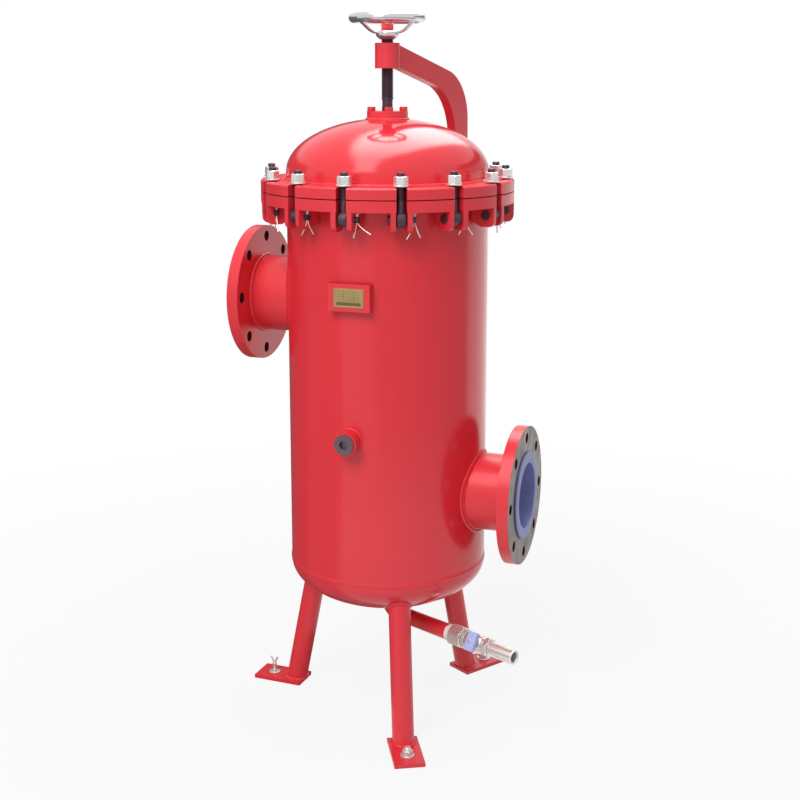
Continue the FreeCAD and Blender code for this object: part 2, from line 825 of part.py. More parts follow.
def make_valve_ball():
    """The ball in the shut position: its bore lies across the pipe."""
    centre = drain_point(ball_reach)
    stem = stem_direction()
    across = stem.cross(drain_along())
    ball = Part.makeSphere(valve_ball_d / 2, centre, across)
    bore = bar(valve_bore_d / 2, valve_ball_d, centre - across * (valve_ball_d / 2), across)
    seat_foot = centre + stem * stem_foot_reach()
    stem_seat = bar(valve_stem_d + 2 * run_gap, valve_ball_d, seat_foot, stem)
    return ball.cut([bore, stem_seat])


def make_valve_stem():
    stem = stem_direction()
    foot = drain_point(ball_reach) + stem * stem_foot_reach()
    return bar(valve_stem_d, valve_stem_reach - stem_foot_reach(), foot, stem)


def make_valve_handle():
    """A short folded handle across the pipe: a face with a skirt down each long side."""
    half_length = valve_handle_length / 2
    half_width = valve_handle_width / 2
    top = valve_stem_reach - valve_handle_sheet
    low = top - valve_handle_skirt
    sheet = valve_handle_sheet
    outside = block(-half_width, half_width, -half_length, half_length, low, top)
    inside = block(-half_width + sheet, half_width - sheet, -half_length, half_length, low, top - sheet)
    handle = outside.cut(inside).cut(bar(valve_stem_d + 2 * run_gap, valve_stem_reach * 2))
    along = drain_along()
    stem = stem_direction()
    across = stem.cross(along)
    turn = FreeCAD.Rotation(along, across, stem, "ZXY")
    handle.Placement = FreeCAD.Placement(drain_point(ball_reach), turn)
    return handle


def make_drain_spigot():
    """The tail: a neck screwed into the valve's end and a longer spigot that stands on it."""
    along = drain_along()
    bore_d = spigot_neck_d - 2 * spigot_wall
    neck = bar(spigot_neck_d, spigot_engaged, drain_point(spigot_start), along)
    tail_r = spigot_d / 2
    tail = turned([
        (0, 0),
        (tail_r, 0),
        (tail_r, spigot_length - spigot_bevel),
        (tail_r - spigot_bevel, spigot_length),
        (0, spigot_length),
    ])
    foot = drain_point(spigot_start + spigot_engaged)
    tail.Placement = FreeCAD.Placement(foot, FreeCAD.Rotation(UP, along))
    bore = bar(bore_d, spigot_length + spigot_engaged, drain_point(spigot_start), along)
    return neck.fuse(tail).cut(bore)


def make_nameplate_holder():
    """A plate on the shell's front, bent back at both ends to meet the shell."""
    face_y = -shell_r - holder_standoff
    centre_z = seam_height + nameplate_rise
    half = holder_width / 2
    low = centre_z - holder_height / 2
    high = centre_z + holder_height / 2
    outside = block(-half, half, face_y, -shell_r / 2, low, high)
    inside = block(-half + holder_sheet, half - holder_sheet, face_y + holder_sheet, -shell_r / 2, low, high)
    shell_form = bar(2 * (shell_r + weld_gap), holder_height * 2, point(0, 0, centre_z - holder_height))
    return outside.cut(inside).cut(shell_form)


def make_nameplate():
    face_y = -shell_r - holder_standoff
    centre_z = seam_height + nameplate_rise
    half_x = nameplate_width / 2
    half_z = nameplate_height / 2
    return block(-half_x, half_x, face_y - nameplate_thickness, face_y, centre_z - half_z, centre_z + half_z)


def port_centre(y):
    return point(port_offset, y, seam_height + port_rise)


def make_port_boss():
    face_y = -shell_r - port_reach
    boss = tube(port_boss_d, port_thread_d + 2 * run_gap, port_reach * 2, port_centre(face_y), FRONT * -1)
    foot = point(0, 0, seam_height + port_rise - port_boss_d)
    return boss.cut(bar(2 * (shell_r + weld_gap), port_boss_d * 2, foot))


def make_port_plug():
    """A round-headed plug with a hexagonal socket."""
    face_y = -shell_r - port_reach
    head = bar(port_plug_d, port_plug_head, port_centre(face_y), FRONT)
    thread = bar(port_thread_d, port_thread_length, port_centre(face_y), FRONT * -1)
    socket = hex_bar(port_plug_key, 2 * port_plug_head, port_centre(face_y + port_plug_head), FRONT)
    return head.fuse(thread).cut(socket)


def element_azimuths():
    return [360.0 / element_count * k for k in range(element_count)]


def make_support_ring():
    outer_d = 2 * (bore_r - weld_gap)
    foot = point(0, 0, sheet_z - support_ring_thickness)
    return tube(outer_d, outer_d - 2 * support_ring_width, support_ring_thickness, foot)


def tie_rod_places(z):
    step = 360.0 / tie_rod_count
    return [polar(tie_rod_r, step * (k + 0.25), z) for k in range(tie_rod_count)]


def make_tube_sheet():
    sheet = bar(2 * (bore_r - 1), sheet_thickness, point(0, 0, sheet_z))
    for azimuth in element_azimuths():
        seat = polar(element_circle_d / 2, azimuth, sheet_z)
        sheet = sheet.cut(bar(element_bore_d + 2 * run_gap, sheet_thickness, seat))
    for place in tie_rod_places(sheet_z):
        sheet = sheet.cut(bar(tie_rod_d + 2 * run_gap, sheet_thickness, place))
    return sheet.cut(bar(bypass_seat_d, sheet_thickness, point(0, 0, sheet_z)))


def make_element_caps():
    """Each filter element's end caps: a spigot cap below and a closed cap above."""
    bore = element_bore_d - 2 * shell_wall
    low = bar(element_d, element_cap_thickness, point(0, 0, sheet_top_z))
    low = low.fuse(bar(element_bore_d, element_spigot, point(0, 0, sheet_top_z), DOWN))
    full = element_cap_thickness + element_spigot
    low = low.cut(bar(bore, full, point(0, 0, sheet_top_z - element_spigot)))
    top = bar(element_d, element_cap_thickness, point(0, 0, element_top_z - element_cap_thickness))
    caps = []
    for azimuth in element_azimuths():
        for cap in (low, top):
            piece = cap.copy()
            piece.translate(point(element_circle_d / 2, 0, 0))
            caps.append(round_z(piece, azimuth))
    return caps


def make_element_media():
    """Each element's pleated sleeve, a star with a round bore."""
    outer = element_d / 2 - 1
    inner = outer - element_pleat_depth
    base_z = sheet_top_z + element_cap_thickness
    height = element_length - 2 * element_cap_thickness
    step = 360.0 / element_pleats
    corners = []
    for k in range(element_pleats):
        corners.append(polar(outer, step * k, base_z))
        corners.append(polar(inner, step * (k + 0.5), base_z))
    star = Part.Face(Part.makePolygon(corners + corners[:1])).extrude(UP * height)
    star = star.cut(bar(element_bore_d, height, point(0, 0, base_z)))
    star.translate(point(element_circle_d / 2, 0, 0))
    return [round_z(star, azimuth) for azimuth in element_azimuths()]


def make_hold_down_plate():
    plate = bar(2 * (bore_r - hold_down_gap), hold_down_thickness, point(0, 0, element_top_z))
    plate = plate.cut(bar(element_circle_d - element_d, hold_down_thickness, point(0, 0, element_top_z)))
    for place in tie_rod_places(element_top_z):
        plate = plate.cut(bar(tie_rod_d + 2 * run_gap, hold_down_thickness, place))
    return plate


def make_tie_rods():
    """The rods that clamp the plate on the elements, with a nut at each end."""
    pieces = []
    top_z = element_top_z + hold_down_thickness
    low_z = sheet_z - tie_nut_height
    length = top_z + tie_nut_height - low_z
    hole_d = tie_rod_d + 2 * run_gap
    for place in tie_rod_places(0):
        pieces.append(bar(tie_rod_d, length, place + UP * low_z))
        for foot_z in (low_z, top_z):
            foot = place + UP * foot_z
            nut = hex_bar(tie_nut_across, tie_nut_height, foot)
            pieces.append(nut.cut(bar(hole_d, tie_nut_height, foot)))
    return pieces


def bypass_floor_z():
    return sheet_z - bypass_cage_length


def make_bypass_body():
    """The bypass valve's cage under the tube sheet: a seat ring, a windowed tube and a floor."""
    floor_z = bypass_floor_z()
    seat_z = sheet_z - bypass_body_flange
    inner_d = bypass_body_d - 2 * bypass_cage_wall
    cage = bar(bypass_body_d, bypass_cage_length, point(0, 0, floor_z))
    hollow_height = bypass_cage_length - bypass_body_flange - bypass_cage_wall
    cage = cage.cut(bar(inner_d, hollow_height, point(0, 0, floor_z + bypass_cage_wall)))
    cage = cage.cut(bar(bypass_seat_d - 2 * bypass_cage_wall, bypass_body_flange, point(0, 0, seat_z)))
    cage = cage.cut(bar(bypass_guide_d + 2 * run_gap, bypass_cage_wall, point(0, 0, floor_z)))
    window = block(-bypass_body_d, bypass_body_d, -bypass_guide_d, bypass_guide_d,
                   floor_z + 2 * bypass_cage_wall, seat_z - bypass_cage_wall)
    return cage.cut([window, round_z(window, 90)])


def make_bypass_poppet():
    """The disc that shuts the seat from below, on a stem guided in the cage floor."""
    top_z = sheet_z - bypass_body_flange - run_gap
    disc = bar(bypass_seat_d, bypass_poppet_thickness, point(0, 0, top_z - bypass_poppet_thickness))
    stem_length = top_z - bypass_floor_z()
    stem = bar(bypass_guide_d, stem_length, point(0, 0, bypass_floor_z()))
    return disc.fuse(stem)


def make_bypass_spring():
    """A stack of dished spring washers between the cage floor and the poppet."""
    base_z = bypass_floor_z() + bypass_cage_wall
    top_z = sheet_z - bypass_body_flange - run_gap - bypass_poppet_thickness
    pitch = (top_z - base_z) / bypass_spring_discs
    rise = pitch - bypass_spring_sheet
    inner = bypass_guide_d / 2 + seat_gap
    outer = bypass_seat_d / 2 - bypass_cage_wall
    discs = []
    for k in range(bypass_spring_discs):
        foot_z = base_z + pitch * k
        inner_lift = rise if k % 2 else 0
        outer_lift = rise - inner_lift
        discs.append(turned([
            (inner, foot_z + inner_lift),
            (outer, foot_z + outer_lift),
            (outer, foot_z + outer_lift + bypass_spring_sheet),
            (inner, foot_z + inner_lift + bypass_spring_sheet),
        ]))
    return discs


def main():
    os.makedirs("parts", exist_ok=True)
    save("vessel_shell", make_vessel_shell())
    save("lower_head", make_lower_head())
    save("body_flange", make_body_flange())
    save("gasket", make_gasket())
    save("lid_flange", make_lid_flange())
    save("hinge_ears", make_hinge_ears())
    save("hinge_pins", make_hinge_pins())
    for number, azimuth in enumerate(bolt_azimuths(), 1):
        save(f"swing_bolt_{number:02d}", make_swing_bolt(azimuth))
    save("lid_dome", make_lid_dome())
    save("lid_boss", make_lid_boss())
    save("hub_plate", make_hub_plate())
    save("hub_bolts", make_hub_bolts())
    save("thrust_ring", make_thrust_ring())
    save("lift_screw", make_lift_screw())
    save("handwheel", make_handwheel())
    save("wheel_nut", make_wheel_nut())
    save("davit_arm", make_davit_arm())
    save("davit_post", make_davit_post())
    save("davit_socket", make_davit_socket())
    save("davit_bracket", make_davit_bracket())
    save("inlet_pipe", make_nozzle_pipe(inlet_z, -1))
    save("inlet_flange", make_nozzle_flange(inlet_z, -1))
    save("outlet_pipe", make_nozzle_pipe(outlet_z, 1))
    save("outlet_flange", make_nozzle_flange(outlet_z, 1))
    save("outlet_plug", make_outlet_plug())
    save("support_legs", make_legs())
    save("foot_plates", make_foot_plates())
    save("drain_pipe", make_drain_pipe())
    save("valve_body", make_valve_body())
    save("valve_ball", make_valve_ball())
    save("valve_stem", make_valve_stem())
    save("valve_handle", make_valve_handle())
    save("drain_spigot", make_drain_spigot())
    save("nameplate_holder", make_nameplate_holder())
    save("nameplate", make_nameplate())
    save("port_boss", make_port_boss())
    save("port_plug", make_port_plug())
    save("support_ring", make_support_ring())
    save("tube_sheet", make_tube_sheet())
    save("element_caps", make_element_caps())
    save("element_media", make_element_media())
    save("hold_down_plate", make_hold_down_plate())
    save("tie_rods", make_tie_rods())
    save("bypass_body", make_bypass_body())
    save("bypass_poppet", make_bypass_poppet())
    save("bypass_spring", make_bypass_spring())


main()
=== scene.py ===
import functools
import math

import bmesh
import bpy
import numpy as np
from mathutils import Matrix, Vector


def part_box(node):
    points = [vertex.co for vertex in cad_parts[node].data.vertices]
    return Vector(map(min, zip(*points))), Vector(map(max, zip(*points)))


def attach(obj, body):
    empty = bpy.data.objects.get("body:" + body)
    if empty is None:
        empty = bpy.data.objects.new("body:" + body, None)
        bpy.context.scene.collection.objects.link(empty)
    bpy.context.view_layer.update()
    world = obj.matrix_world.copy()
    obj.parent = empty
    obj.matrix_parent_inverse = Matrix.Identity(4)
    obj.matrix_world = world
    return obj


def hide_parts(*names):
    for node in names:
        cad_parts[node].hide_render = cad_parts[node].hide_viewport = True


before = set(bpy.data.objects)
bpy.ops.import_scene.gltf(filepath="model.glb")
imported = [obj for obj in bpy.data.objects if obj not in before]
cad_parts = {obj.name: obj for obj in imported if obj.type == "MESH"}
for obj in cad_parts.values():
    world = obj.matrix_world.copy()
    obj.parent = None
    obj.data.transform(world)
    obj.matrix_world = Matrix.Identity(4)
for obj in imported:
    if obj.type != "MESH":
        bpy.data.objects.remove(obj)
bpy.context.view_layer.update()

bl_info = {
    "name": "Return line filter dressing",
    "version": (1, 0, 0),
    "blender": (4, 5, 0),
    "location": "3D Viewport > Sidebar > Filter",
    "description": "Dresses the filter vessel's frame with fasteners, welds, finishes and a studio",
    "category": "Object",
}


def span(name, axis):
    """A node's lowest and highest coordinate along an axis."""
    low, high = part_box(name)
    return low[axis], high[axis]


def middle(name):
    """The centre of a node's box."""
    low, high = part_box(name)
    return (np.array(low) + np.array(high)) / 2


# Places of the frame's own features, in metres and degrees
SHELL_R = span("vessel_shell", 0)[1]
SEAM_Z, BODY_FLANGE_Z = span("vessel_shell", 2)
HEAD_SPRING_Z = SEAM_Z - 0.005
HEAD_DEPTH = 0.092
LID_Z = span("lid_flange", 2)[1]
LID_SPRING_Z = LID_Z + 0.015
LID_DEPTH = 0.106
BOLT_COUNT = 14
BOLT_NODES = [f"swing_bolt_{number:02d}" for number in range(1, BOLT_COUNT + 1)]
FIRST_BOLT_AZIMUTH = -90.0
BOLT_CIRCLE_R = 0.240
PIN_Z = middle("hinge_pins")[2]
PIN_HOLE_REACH = 0.0255
WASHER_Z = LID_Z + 0.0022
BOLT_TOP_Z = span("swing_bolt_01", 2)[1]
LID_BOSS_R = span("lid_boss", 0)[1]
HUB_TOP_Z = span("hub_plate", 2)[1]
WHEEL_Z, WHEEL_TOP_Z = span("handwheel", 2)
WHEEL_R = span("handwheel", 0)[1]
WHEEL_HUB_HEIGHT = 0.017
WHEEL_BORE_R = 0.00905
WHEEL_TURN = -10.0
SCREW_FOOT_Z, SCREW_TOP_Z = span("lift_screw", 2)
NOZZLE_R = span("outlet_pipe", 1)[1]
FLANGE_BACK, NOZZLE_REACH = span("outlet_flange", 0)
INLET_Z = middle("inlet_flange")[2]
OUTLET_Z = middle("outlet_flange")[2]
BALL = middle("valve_ball")
BALL_REACH = math.hypot(BALL[0], BALL[1])
VALVE_START = BALL_REACH - 0.070
TAIL_START = BALL_REACH + 0.032
DRAIN_AZIMUTH = math.degrees(math.atan2(BALL[1], BALL[0]))
DRAIN_Z = BALL[2]
DRAIN_R = 0.01675
STEM_TILT = 28.0
HANDLE_FACE = 0.033
LEG_AZIMUTHS = (-62.5, 57.5, 177.5)
LEG_R = 0.0225
LEG_SPLAY = 11.5
LEG_FOOT_R = 0.223
FOOT_TOP_Z = span("foot_plates", 2)[1]
FOOT_HOLE_R = 0.280
PORT_X, _, PORT_Z = middle("port_plug")
PORT_R = 0.0245
FLANGE_HOLES = 8
FLANGE_HOLE_CIRCLE_R = 0.120
FLANGE_HOLE_R = 0.011
FLANGE_HOLE_TURN = 20.0

# Gaps of the surfaces, an eased corner's longest cut as a share of its side, and a thread's rows in a pitch
BORE_GAP = 5e-5
MERGE_GAP = 2e-6
FACE_GAP = 0.0004
HOLE_GAP = 0.0002
LONGEST_EASE = 0.48
THREAD_ROWS = 6
# Waves of the hand round a weld bead, how many and where each starts, and their share; the ripple's middle
HAND_WAVES = ((7, 1.0), (17, 0.0), (31, 2.0))
HAND_SHARE = 0.35
RIPPLE_MIDDLE = 0.6

RIGHT = np.array([1.0, 0.0, 0.0])
BACK = np.array([0.0, 1.0, 0.0])
UP = np.array([0.0, 0.0, 1.0])
LEVEL = np.stack([RIGHT, BACK, UP])
ON_AXIS = np.zeros(3)


def setting(label, about, default, **kind):
    """A number that a user can change, with its unit or subtype."""
    return bpy.props.FloatProperty(name=label, description=about, default=default, **kind)


length = functools.partial(setting, unit="LENGTH")
share = functools.partial(setting, subtype="FACTOR")
watts = functools.partial(setting, unit="POWER")
turn = functools.partial(setting, unit="ROTATION")


def paint(label, about, default):
    """A colour that a user can change."""
    return bpy.props.FloatVectorProperty(name=label, description=about, default=default, subtype="COLOR")


class FastenerSizes(bpy.types.PropertyGroup):
    shank_d: length("Bolt diameter", "Swing bolt's thread", 0.016)
    shank_pitch: length("Bolt pitch", "Swing bolt's thread pitch", 0.002)
    nut_across: length("Nut", "Swing bolt nut across its flats", 0.024)
    nut_height: length("Nut height", "Swing bolt nut's height", 0.016)
    washer_d: length("Washer", "Swing bolt washer's diameter", 0.030)
    split_wire_d: length("Split pin wire", "Thickness of one leg", 0.0026)
    split_leg: length("Split pin leg", "Length below the hinge pin", 0.031)
    screw_pitch: length("Screw pitch", "Lifting screw's rise in one turn", 0.003)
    hub_across: length("Hub bolt", "Hub plate's bolts across their flats", 0.015)


class WeldSizes(bpy.types.PropertyGroup):
    root: length("Root bead", "Radius of the beads round the pipes", 0.0058)
    thin: length("Thin bead", "Radius of the beads at legs and flanges", 0.0038)
    fine: length("Fine bead", "Radius of the beads at small bosses", 0.0030)
    ripple: share("Ripple", "Height of the ripples as a share of the bead", 0.16)
    ripple_pitch: length("Ripple pitch", "Length of one ripple", 0.0048)


class FinishColours(bpy.types.PropertyGroup):
    enamel: paint("Enamel", "Red paint", (0.75, 0.030, 0.044))
    enamel_shade: paint("Enamel shade", "Thinner red paint", (0.69, 0.024, 0.037))
    oxide: paint("Black oxide", "Bolts, pins and screw", (0.058, 0.033, 0.047))
    zinc: paint("Zinc", "Nuts and washers", (0.88, 0.88, 0.86))
    handle: paint("Handle", "Blue valve handle", (0.48, 0.54, 0.94))
    cap: paint("Cap", "Blue cap of the outlet", (0.19, 0.21, 0.46))
    brass: paint("Brass", "Data plate", (0.56, 0.40, 0.17))


class StudioSettings(bpy.types.PropertyGroup):
    eye: bpy.props.FloatVectorProperty(name="Camera", description="Camera's place", subtype="TRANSLATION",
                                       unit="LENGTH", default=(0.9177, -2.5478, 1.3416))
    heading: turn("Heading", "Turn from +Y towards -X", math.radians(19.273))
    tilt: turn("Tilt", "Camera's angle below the level", math.radians(10.994))
    lens: setting("Lens", "Focal length in millimetres", 59.51)
    drop: setting("Shift", "Vertical lens shift", -0.085)
    sky: share("Sky", "Level of the light from all round", 0.50)
    overhead: watts("Overhead", "Softbox above", 28.0)
    front: watts("Front", "Softbox in front, on the left and high", 214.0)
    floor: share("Floor", "Share of the floor round the feet that shows as plain white", 0.88)
    white: setting("White", "Strength of that white", 1.0)


# Shapes


def unit(vectors):
    """Vectors brought to length 1."""
    return vectors / np.linalg.norm(vectors, axis=-1, keepdims=True)


def once_round(steps):
    """Angles once round, with the first again at the end."""
    return np.linspace(0, 2 * np.pi, steps + 1)


def around_axis(azimuth):
    """Rows: outward, sideways and up at an azimuth about the vessel's axis."""
    a = math.radians(azimuth)
    return np.array([[math.cos(a), math.sin(a), 0.0], [-math.sin(a), math.cos(a), 0.0], [0.0, 0.0, 1.0]])


def axes_along(direction, beside):
    """Rows of a frame whose third direction is the given one and whose first lies near beside."""
    third = unit(np.asarray(direction, float))
    first = unit(beside - third * (beside @ third))
    return np.stack([first, np.cross(third, first), third])


def band(inner, outer, low, high):
    """A rectangle's corners as (radius, height) rows."""
    return [(inner, low), (outer, low), (outer, high), (inner, high)]


def eased(profile, radius, steps=4):
    """A profile with each inner corner P cut back by radius and bent: (1-t)^2 A + 2t(1-t) P + t^2 B."""
    p = np.asarray(profile, float)
    cuts = []
    for way in (p[:-2] - p[1:-1], p[2:] - p[1:-1]):
        run = np.linalg.norm(way, axis=1, keepdims=True)
        cuts.append((p[1:-1] + way / run * np.minimum(radius, LONGEST_EASE * run))[:, None])
    t = np.linspace(0, 1, steps + 1)[None, :, None]
    bends = (1 - t) ** 2 * cuts[0] + 2 * t * (1 - t) * p[1:-1, None] + t ** 2 * cuts[1]
    return np.concatenate([p[:1], bends.reshape(-1, 2), p[-1:]])


def eased_ring(profile, radius, steps=4):
    """A closed profile with every corner bent as eased does."""
    looped = np.concatenate([profile[-1:], profile, profile[:1]])
    ring = eased(looped, radius, steps)[1:-1]
    return np.concatenate([ring, ring[:1]])


def spun(radius, height, angle, origin, axes):
    """Points origin + r cos(angle) e1 + r sin(angle) e2 + h e3 for arrays of radius, height and angle."""
    local = np.stack(np.broadcast_arrays(radius * np.cos(angle), radius * np.sin(angle), height), axis=-1)
    return origin + local @ axes


def turned(profile, origin=ON_AXIS, axes=LEVEL, steps=64):
    """A profile of (radius, height) rows turned about the third direction."""
    profile = np.asarray(profile, float)
    return spun(profile[:, :1], profile[:, 1:], once_round(steps), origin, axes)


def washer(inner, outer, low, high, ease, origin, axes, steps=36):
    """A flat ring with eased edges."""
    return turned(eased_ring(band(inner, outer, low, high), ease, 3), origin, axes, steps)


def peg(radius, low, high, ease, origin=ON_AXIS, axes=LEVEL, steps=64):
    """A plain rod with eased ends."""
    return turned(eased(band(0, radius, low, high), ease), origin, axes, steps)


def hexagon(across, height, hole, origin, axes):
    """A nut or head with coned ends: r = min(row's radius, half across / cos(angle from a flat's middle)).

    A hair more than the angle keeps both sides of a corner on the same flat.
    """
    foot_share, slope, hair = 0.475, math.radians(30), 1e-9
    foot = foot_share * across
    run = across / math.sqrt(3) - foot
    low = [(foot + run * t, run * math.tan(slope) * t) for t in np.linspace(0, 1, 6)]
    rows = [(hole, 0.0), *low, *((r, height - h) for r, h in reversed(low)), (hole, height)]
    rows = np.array(rows + rows[:1] if hole else rows)
    angle = once_round(72)
    flats = across / 2 / np.cos(np.mod(angle + hair, np.pi / 3) - np.pi / 6)
    return spun(np.minimum(rows[:, :1], flats), rows[:, 1:], angle, origin, axes)


def capped(grid, first, last):
    """A grid whose two ends are drawn together in a point each."""
    ends = [np.broadcast_to(point, (1, grid.shape[1], 3)) for point in (first, last)]
    return np.concatenate([ends[0], grid, ends[1]])


def threaded(radius, pitch, depth, low, high, origin=ON_AXIS, axes=LEVEL, steps=28, flat=0.0, tip=0.0015):
    """A screw thread: r = radius - depth * V(h / pitch - angle / turn), faded and closed at both ends."""
    height = np.linspace(low, high, int((high - low) / pitch * THREAD_ROWS) + 1)[:, None]
    angle = once_round(steps)
    wave = np.abs(2 * np.mod(height / pitch - angle / (2 * np.pi), 1) - 1)
    wave = np.clip((wave - flat) / (1 - 2 * flat), 0, 1)
    fade = np.clip((height - low) / pitch, 0, 1) * np.clip((high - height) / pitch * 2, 0, 1)
    r = np.minimum(radius - depth * wave * fade, radius - tip + (high - height))
    return capped(spun(r, height, angle, origin, axes), origin + low * axes[2], origin + high * axes[2])


def directions(path, closed=False):
    """The unit direction of a path at each of its points."""
    if closed:
        return unit(np.roll(path, -1, axis=0) - np.roll(path, 1, axis=0))
    return unit(np.gradient(path, axis=0))


def oval_along(path, side, lift, width, height, steps):
    """An oval carried along a path: point + width cos(a) side + height sin(a) lift."""
    angle = once_round(steps)[:, None]
    across = np.reshape(width, (-1, 1, 1)) * np.cos(angle) * side[:, None]
    return path[:, None] + across + np.reshape(height, (-1, 1, 1)) * np.sin(angle) * lift[:, None]


def wire(path, radius, normal, steps=10, closed=False):
    """A round wire on a path: point + r cos(a) normal + r sin(a) (tangent x normal)."""
    tangent = directions(path, closed)
    lift = unit(np.cross(tangent, normal))
    tube = oval_along(path, np.cross(lift, tangent), lift, radius, radius, steps)
    return np.concatenate([tube, tube[:1]]) if closed else capped(tube, path[0], path[-1])


def bead(path, lift, width, height, sizes, steps=10):
    """A weld bead round a closed path: an oval that swells once a ripple, and slowly as three sines do."""
    step = np.linalg.norm(np.roll(path, -1, axis=0) - path, axis=1)
    way = np.concatenate([[0.0], np.cumsum(step)[:-1]]) / step.sum()
    saw = np.mod(way * max(1, round(step.sum() / sizes.ripple_pitch)), 1)
    hand = sum(np.sin(2 * np.pi * waves * way + start) for waves, start in HAND_WAVES)
    swell = 1 + sizes.ripple * (np.sqrt(saw) - RIPPLE_MIDDLE + HAND_SHARE * hand)
    tangent = directions(path, closed=True)
    lift = unit(lift - tangent * np.sum(lift * tangent, axis=1, keepdims=True))
    tube = oval_along(path, np.cross(tangent, lift), lift, swell * width, swell * height, steps)
    return np.concatenate([tube, tube[:1]])


def placed(name, data):
    """A new object of some data, linked into the scene."""
    made = bpy.data.objects.new(name, data)
    bpy.context.scene.collection.objects.link(made)
    return made


def grid_mesh(name, grids):
    """A mesh of grids of points, whose neighbours are joined by four-sided faces."""
    faces, first = [], 0
    for grid in grids:
        order = first + np.arange(grid.shape[0] * grid.shape[1]).reshape(grid.shape[:2])
        corners = [order[:-1, :-1], order[:-1, 1:], order[1:, 1:], order[1:, :-1]]
        faces.append(np.stack(corners, axis=-1).reshape(-1, 4))
        first += order.size
    mesh = bpy.data.meshes.new(name)
    mesh.from_pydata(np.concatenate([grid.reshape(-1, 3) for grid in grids]).tolist(), [],
                     np.concatenate(faces).tolist())
    return mesh


def make_piece(name, surfaces, body, stands_for=(), sharp=35.0, close=True):
    """One object from grids of points, listed under their finishes."""
    mesh = grid_mesh(name, [grid for grids in surfaces.values() for grid in grids])
    numbers = [np.full((grid.shape[0] - 1) * (grid.shape[1] - 1), slot_number)
               for slot_number, grids in enumerate(surfaces.values()) for grid in grids]
    mesh.polygons.foreach_set("material_index", np.concatenate(numbers).astype(np.int32))
    form = bmesh.new()
    form.from_mesh(mesh)
    bmesh.ops.remove_doubles(form, verts=form.verts, dist=MERGE_GAP)
    if close:
        bmesh.ops.recalc_face_normals(form, faces=form.faces)
    form.to_mesh(mesh)
    form.free()
    mesh.shade_smooth()
    mesh.set_sharp_from_angle(angle=math.radians(sharp))
    for maker in surfaces:
        mesh.materials.append(finish(maker))
    piece = placed(name, mesh)
    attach(piece, body)
    if stands_for:
        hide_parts(*stands_for)
    return piece


# Finishes


def feed(tree, socket, value):
    """Links a socket to another one, or sets its value."""
    if isinstance(value, bpy.types.NodeSocket):
        tree.links.new(value, socket)
    else:
        socket.default_value = value


def node(tree, kind, settings=None, **sockets):
    """Adds a shader node; settings are its own, and sockets are values or links by name, _ for a space."""
    made = tree.nodes.new(kind)
    for key, value in (settings or {}).items():
        setattr(made, key, value)
    for key, value in sockets.items():
        feed(tree, made.inputs[key.replace("_", " ")], value)
    return made


def maths(tree, operation, *values):
    """A maths node's result; each value is a number or a link."""
    made = node(tree, "ShaderNodeMath", {"operation": operation})
    for socket, value in zip(made.inputs, values):
        feed(tree, socket, value)
    return made.outputs["Value"]


def hypotenuse(tree, first, second):
    """The square root of two links' squares, added."""
    squares = [maths(tree, "MULTIPLY", side, side) for side in (first, second)]
    return maths(tree, "SQRT", maths(tree, "ADD", *squares))


def blended(tree, amount, first, second, kind="FLOAT"):
    """A mix of two values or colours by an amount."""
    made = node(tree, "ShaderNodeMix", {"data_type": kind})
    place = {"FLOAT": 2, "RGBA": 6}[kind]
    for position, value in ((0, amount), (place, first), (place + 1, second)):
        feed(tree, made.inputs[position], value)
    return made.outputs[place // 3]


def noise(tree, place, scale, detail):
    """Noise at a place."""
    return node(tree, "ShaderNodeTexNoise", Vector=place, Scale=scale, Detail=detail).outputs["Fac"]


def ranged(tree, value, low, high, start=0.0, end=1.0):
    """A value between start and end brought between low and high."""
    made = node(tree, "ShaderNodeMapRange", Value=value, From_Min=start, From_Max=end, To_Min=low,
                To_Max=high)
    return made.outputs["Result"]


# Enamel's coarse and fine noise as scale and detail, its roughness on small parts, and metal's noise range
ENAMEL_CLOUDS, ENAMEL_PEEL = (6.0, 3.0), (260.0, 1.0)
ENAMEL_ROUGH = (0.24, 0.36)
METAL_CLOUDS = (0.3, 0.7)
MOTTLE_NUMBERS = ("Coarse scale", "Coarse detail", "Fine scale", "Fine detail", "Cloud low", "Cloud high",
                  "Rough low", "Rough high")


def mottle_group():
    """The group behind coats and metals: coarse noise blends two tones and two roughnesses.

    Fine noise is the height. Enamel has clouds and orange peel from it, metal a mottled tone and fine lines.
    """
    tree = bpy.data.node_groups.new("Mottled surface", "ShaderNodeTree")
    kinds = {"Vector": "Vector", "First": "Color", "Second": "Color", "Color": "Color"}
    for in_out, labels in (("INPUT", ("Vector", "First", "Second", *MOTTLE_NUMBERS)),
                           ("OUTPUT", ("Color", "Roughness", "Height"))):
        for label in labels:
            kind = "NodeSocket" + kinds.get(label, "Float")
            tree.interface.new_socket(name=label, in_out=in_out, socket_type=kind)
    given = tree.nodes.new("NodeGroupInput").outputs
    cloud = noise(tree, given["Vector"], given["Coarse scale"], given["Coarse detail"])
    limits = (given[label] for label in ("Rough low", "Rough high", "Cloud low", "Cloud high"))
    rough = ranged(tree, cloud, *limits)
    tone = blended(tree, cloud, given["First"], given["Second"], "RGBA")
    height = noise(tree, given["Vector"], given["Fine scale"], given["Fine detail"])
    node(tree, "NodeGroupOutput", Color=tone, Roughness=rough, Height=height)
    return tree


def mottle(tree, place, tones, coarse, fine, rough, clouds=(0.0, 1.0)):
    """The shared group's outputs at a place; coarse and fine are each a noise's scale and detail."""
    group = bpy.data.node_groups.get("Mottled surface") or mottle_group()
    numbers = dict(zip(MOTTLE_NUMBERS, (*coarse, *fine, *clouds, *rough)))
    return node(tree, "ShaderNodeGroup", {"node_tree": group}, Vector=place, First=(*tones[0], 1.0),
                Second=(*tones[1], 1.0), **numbers).outputs


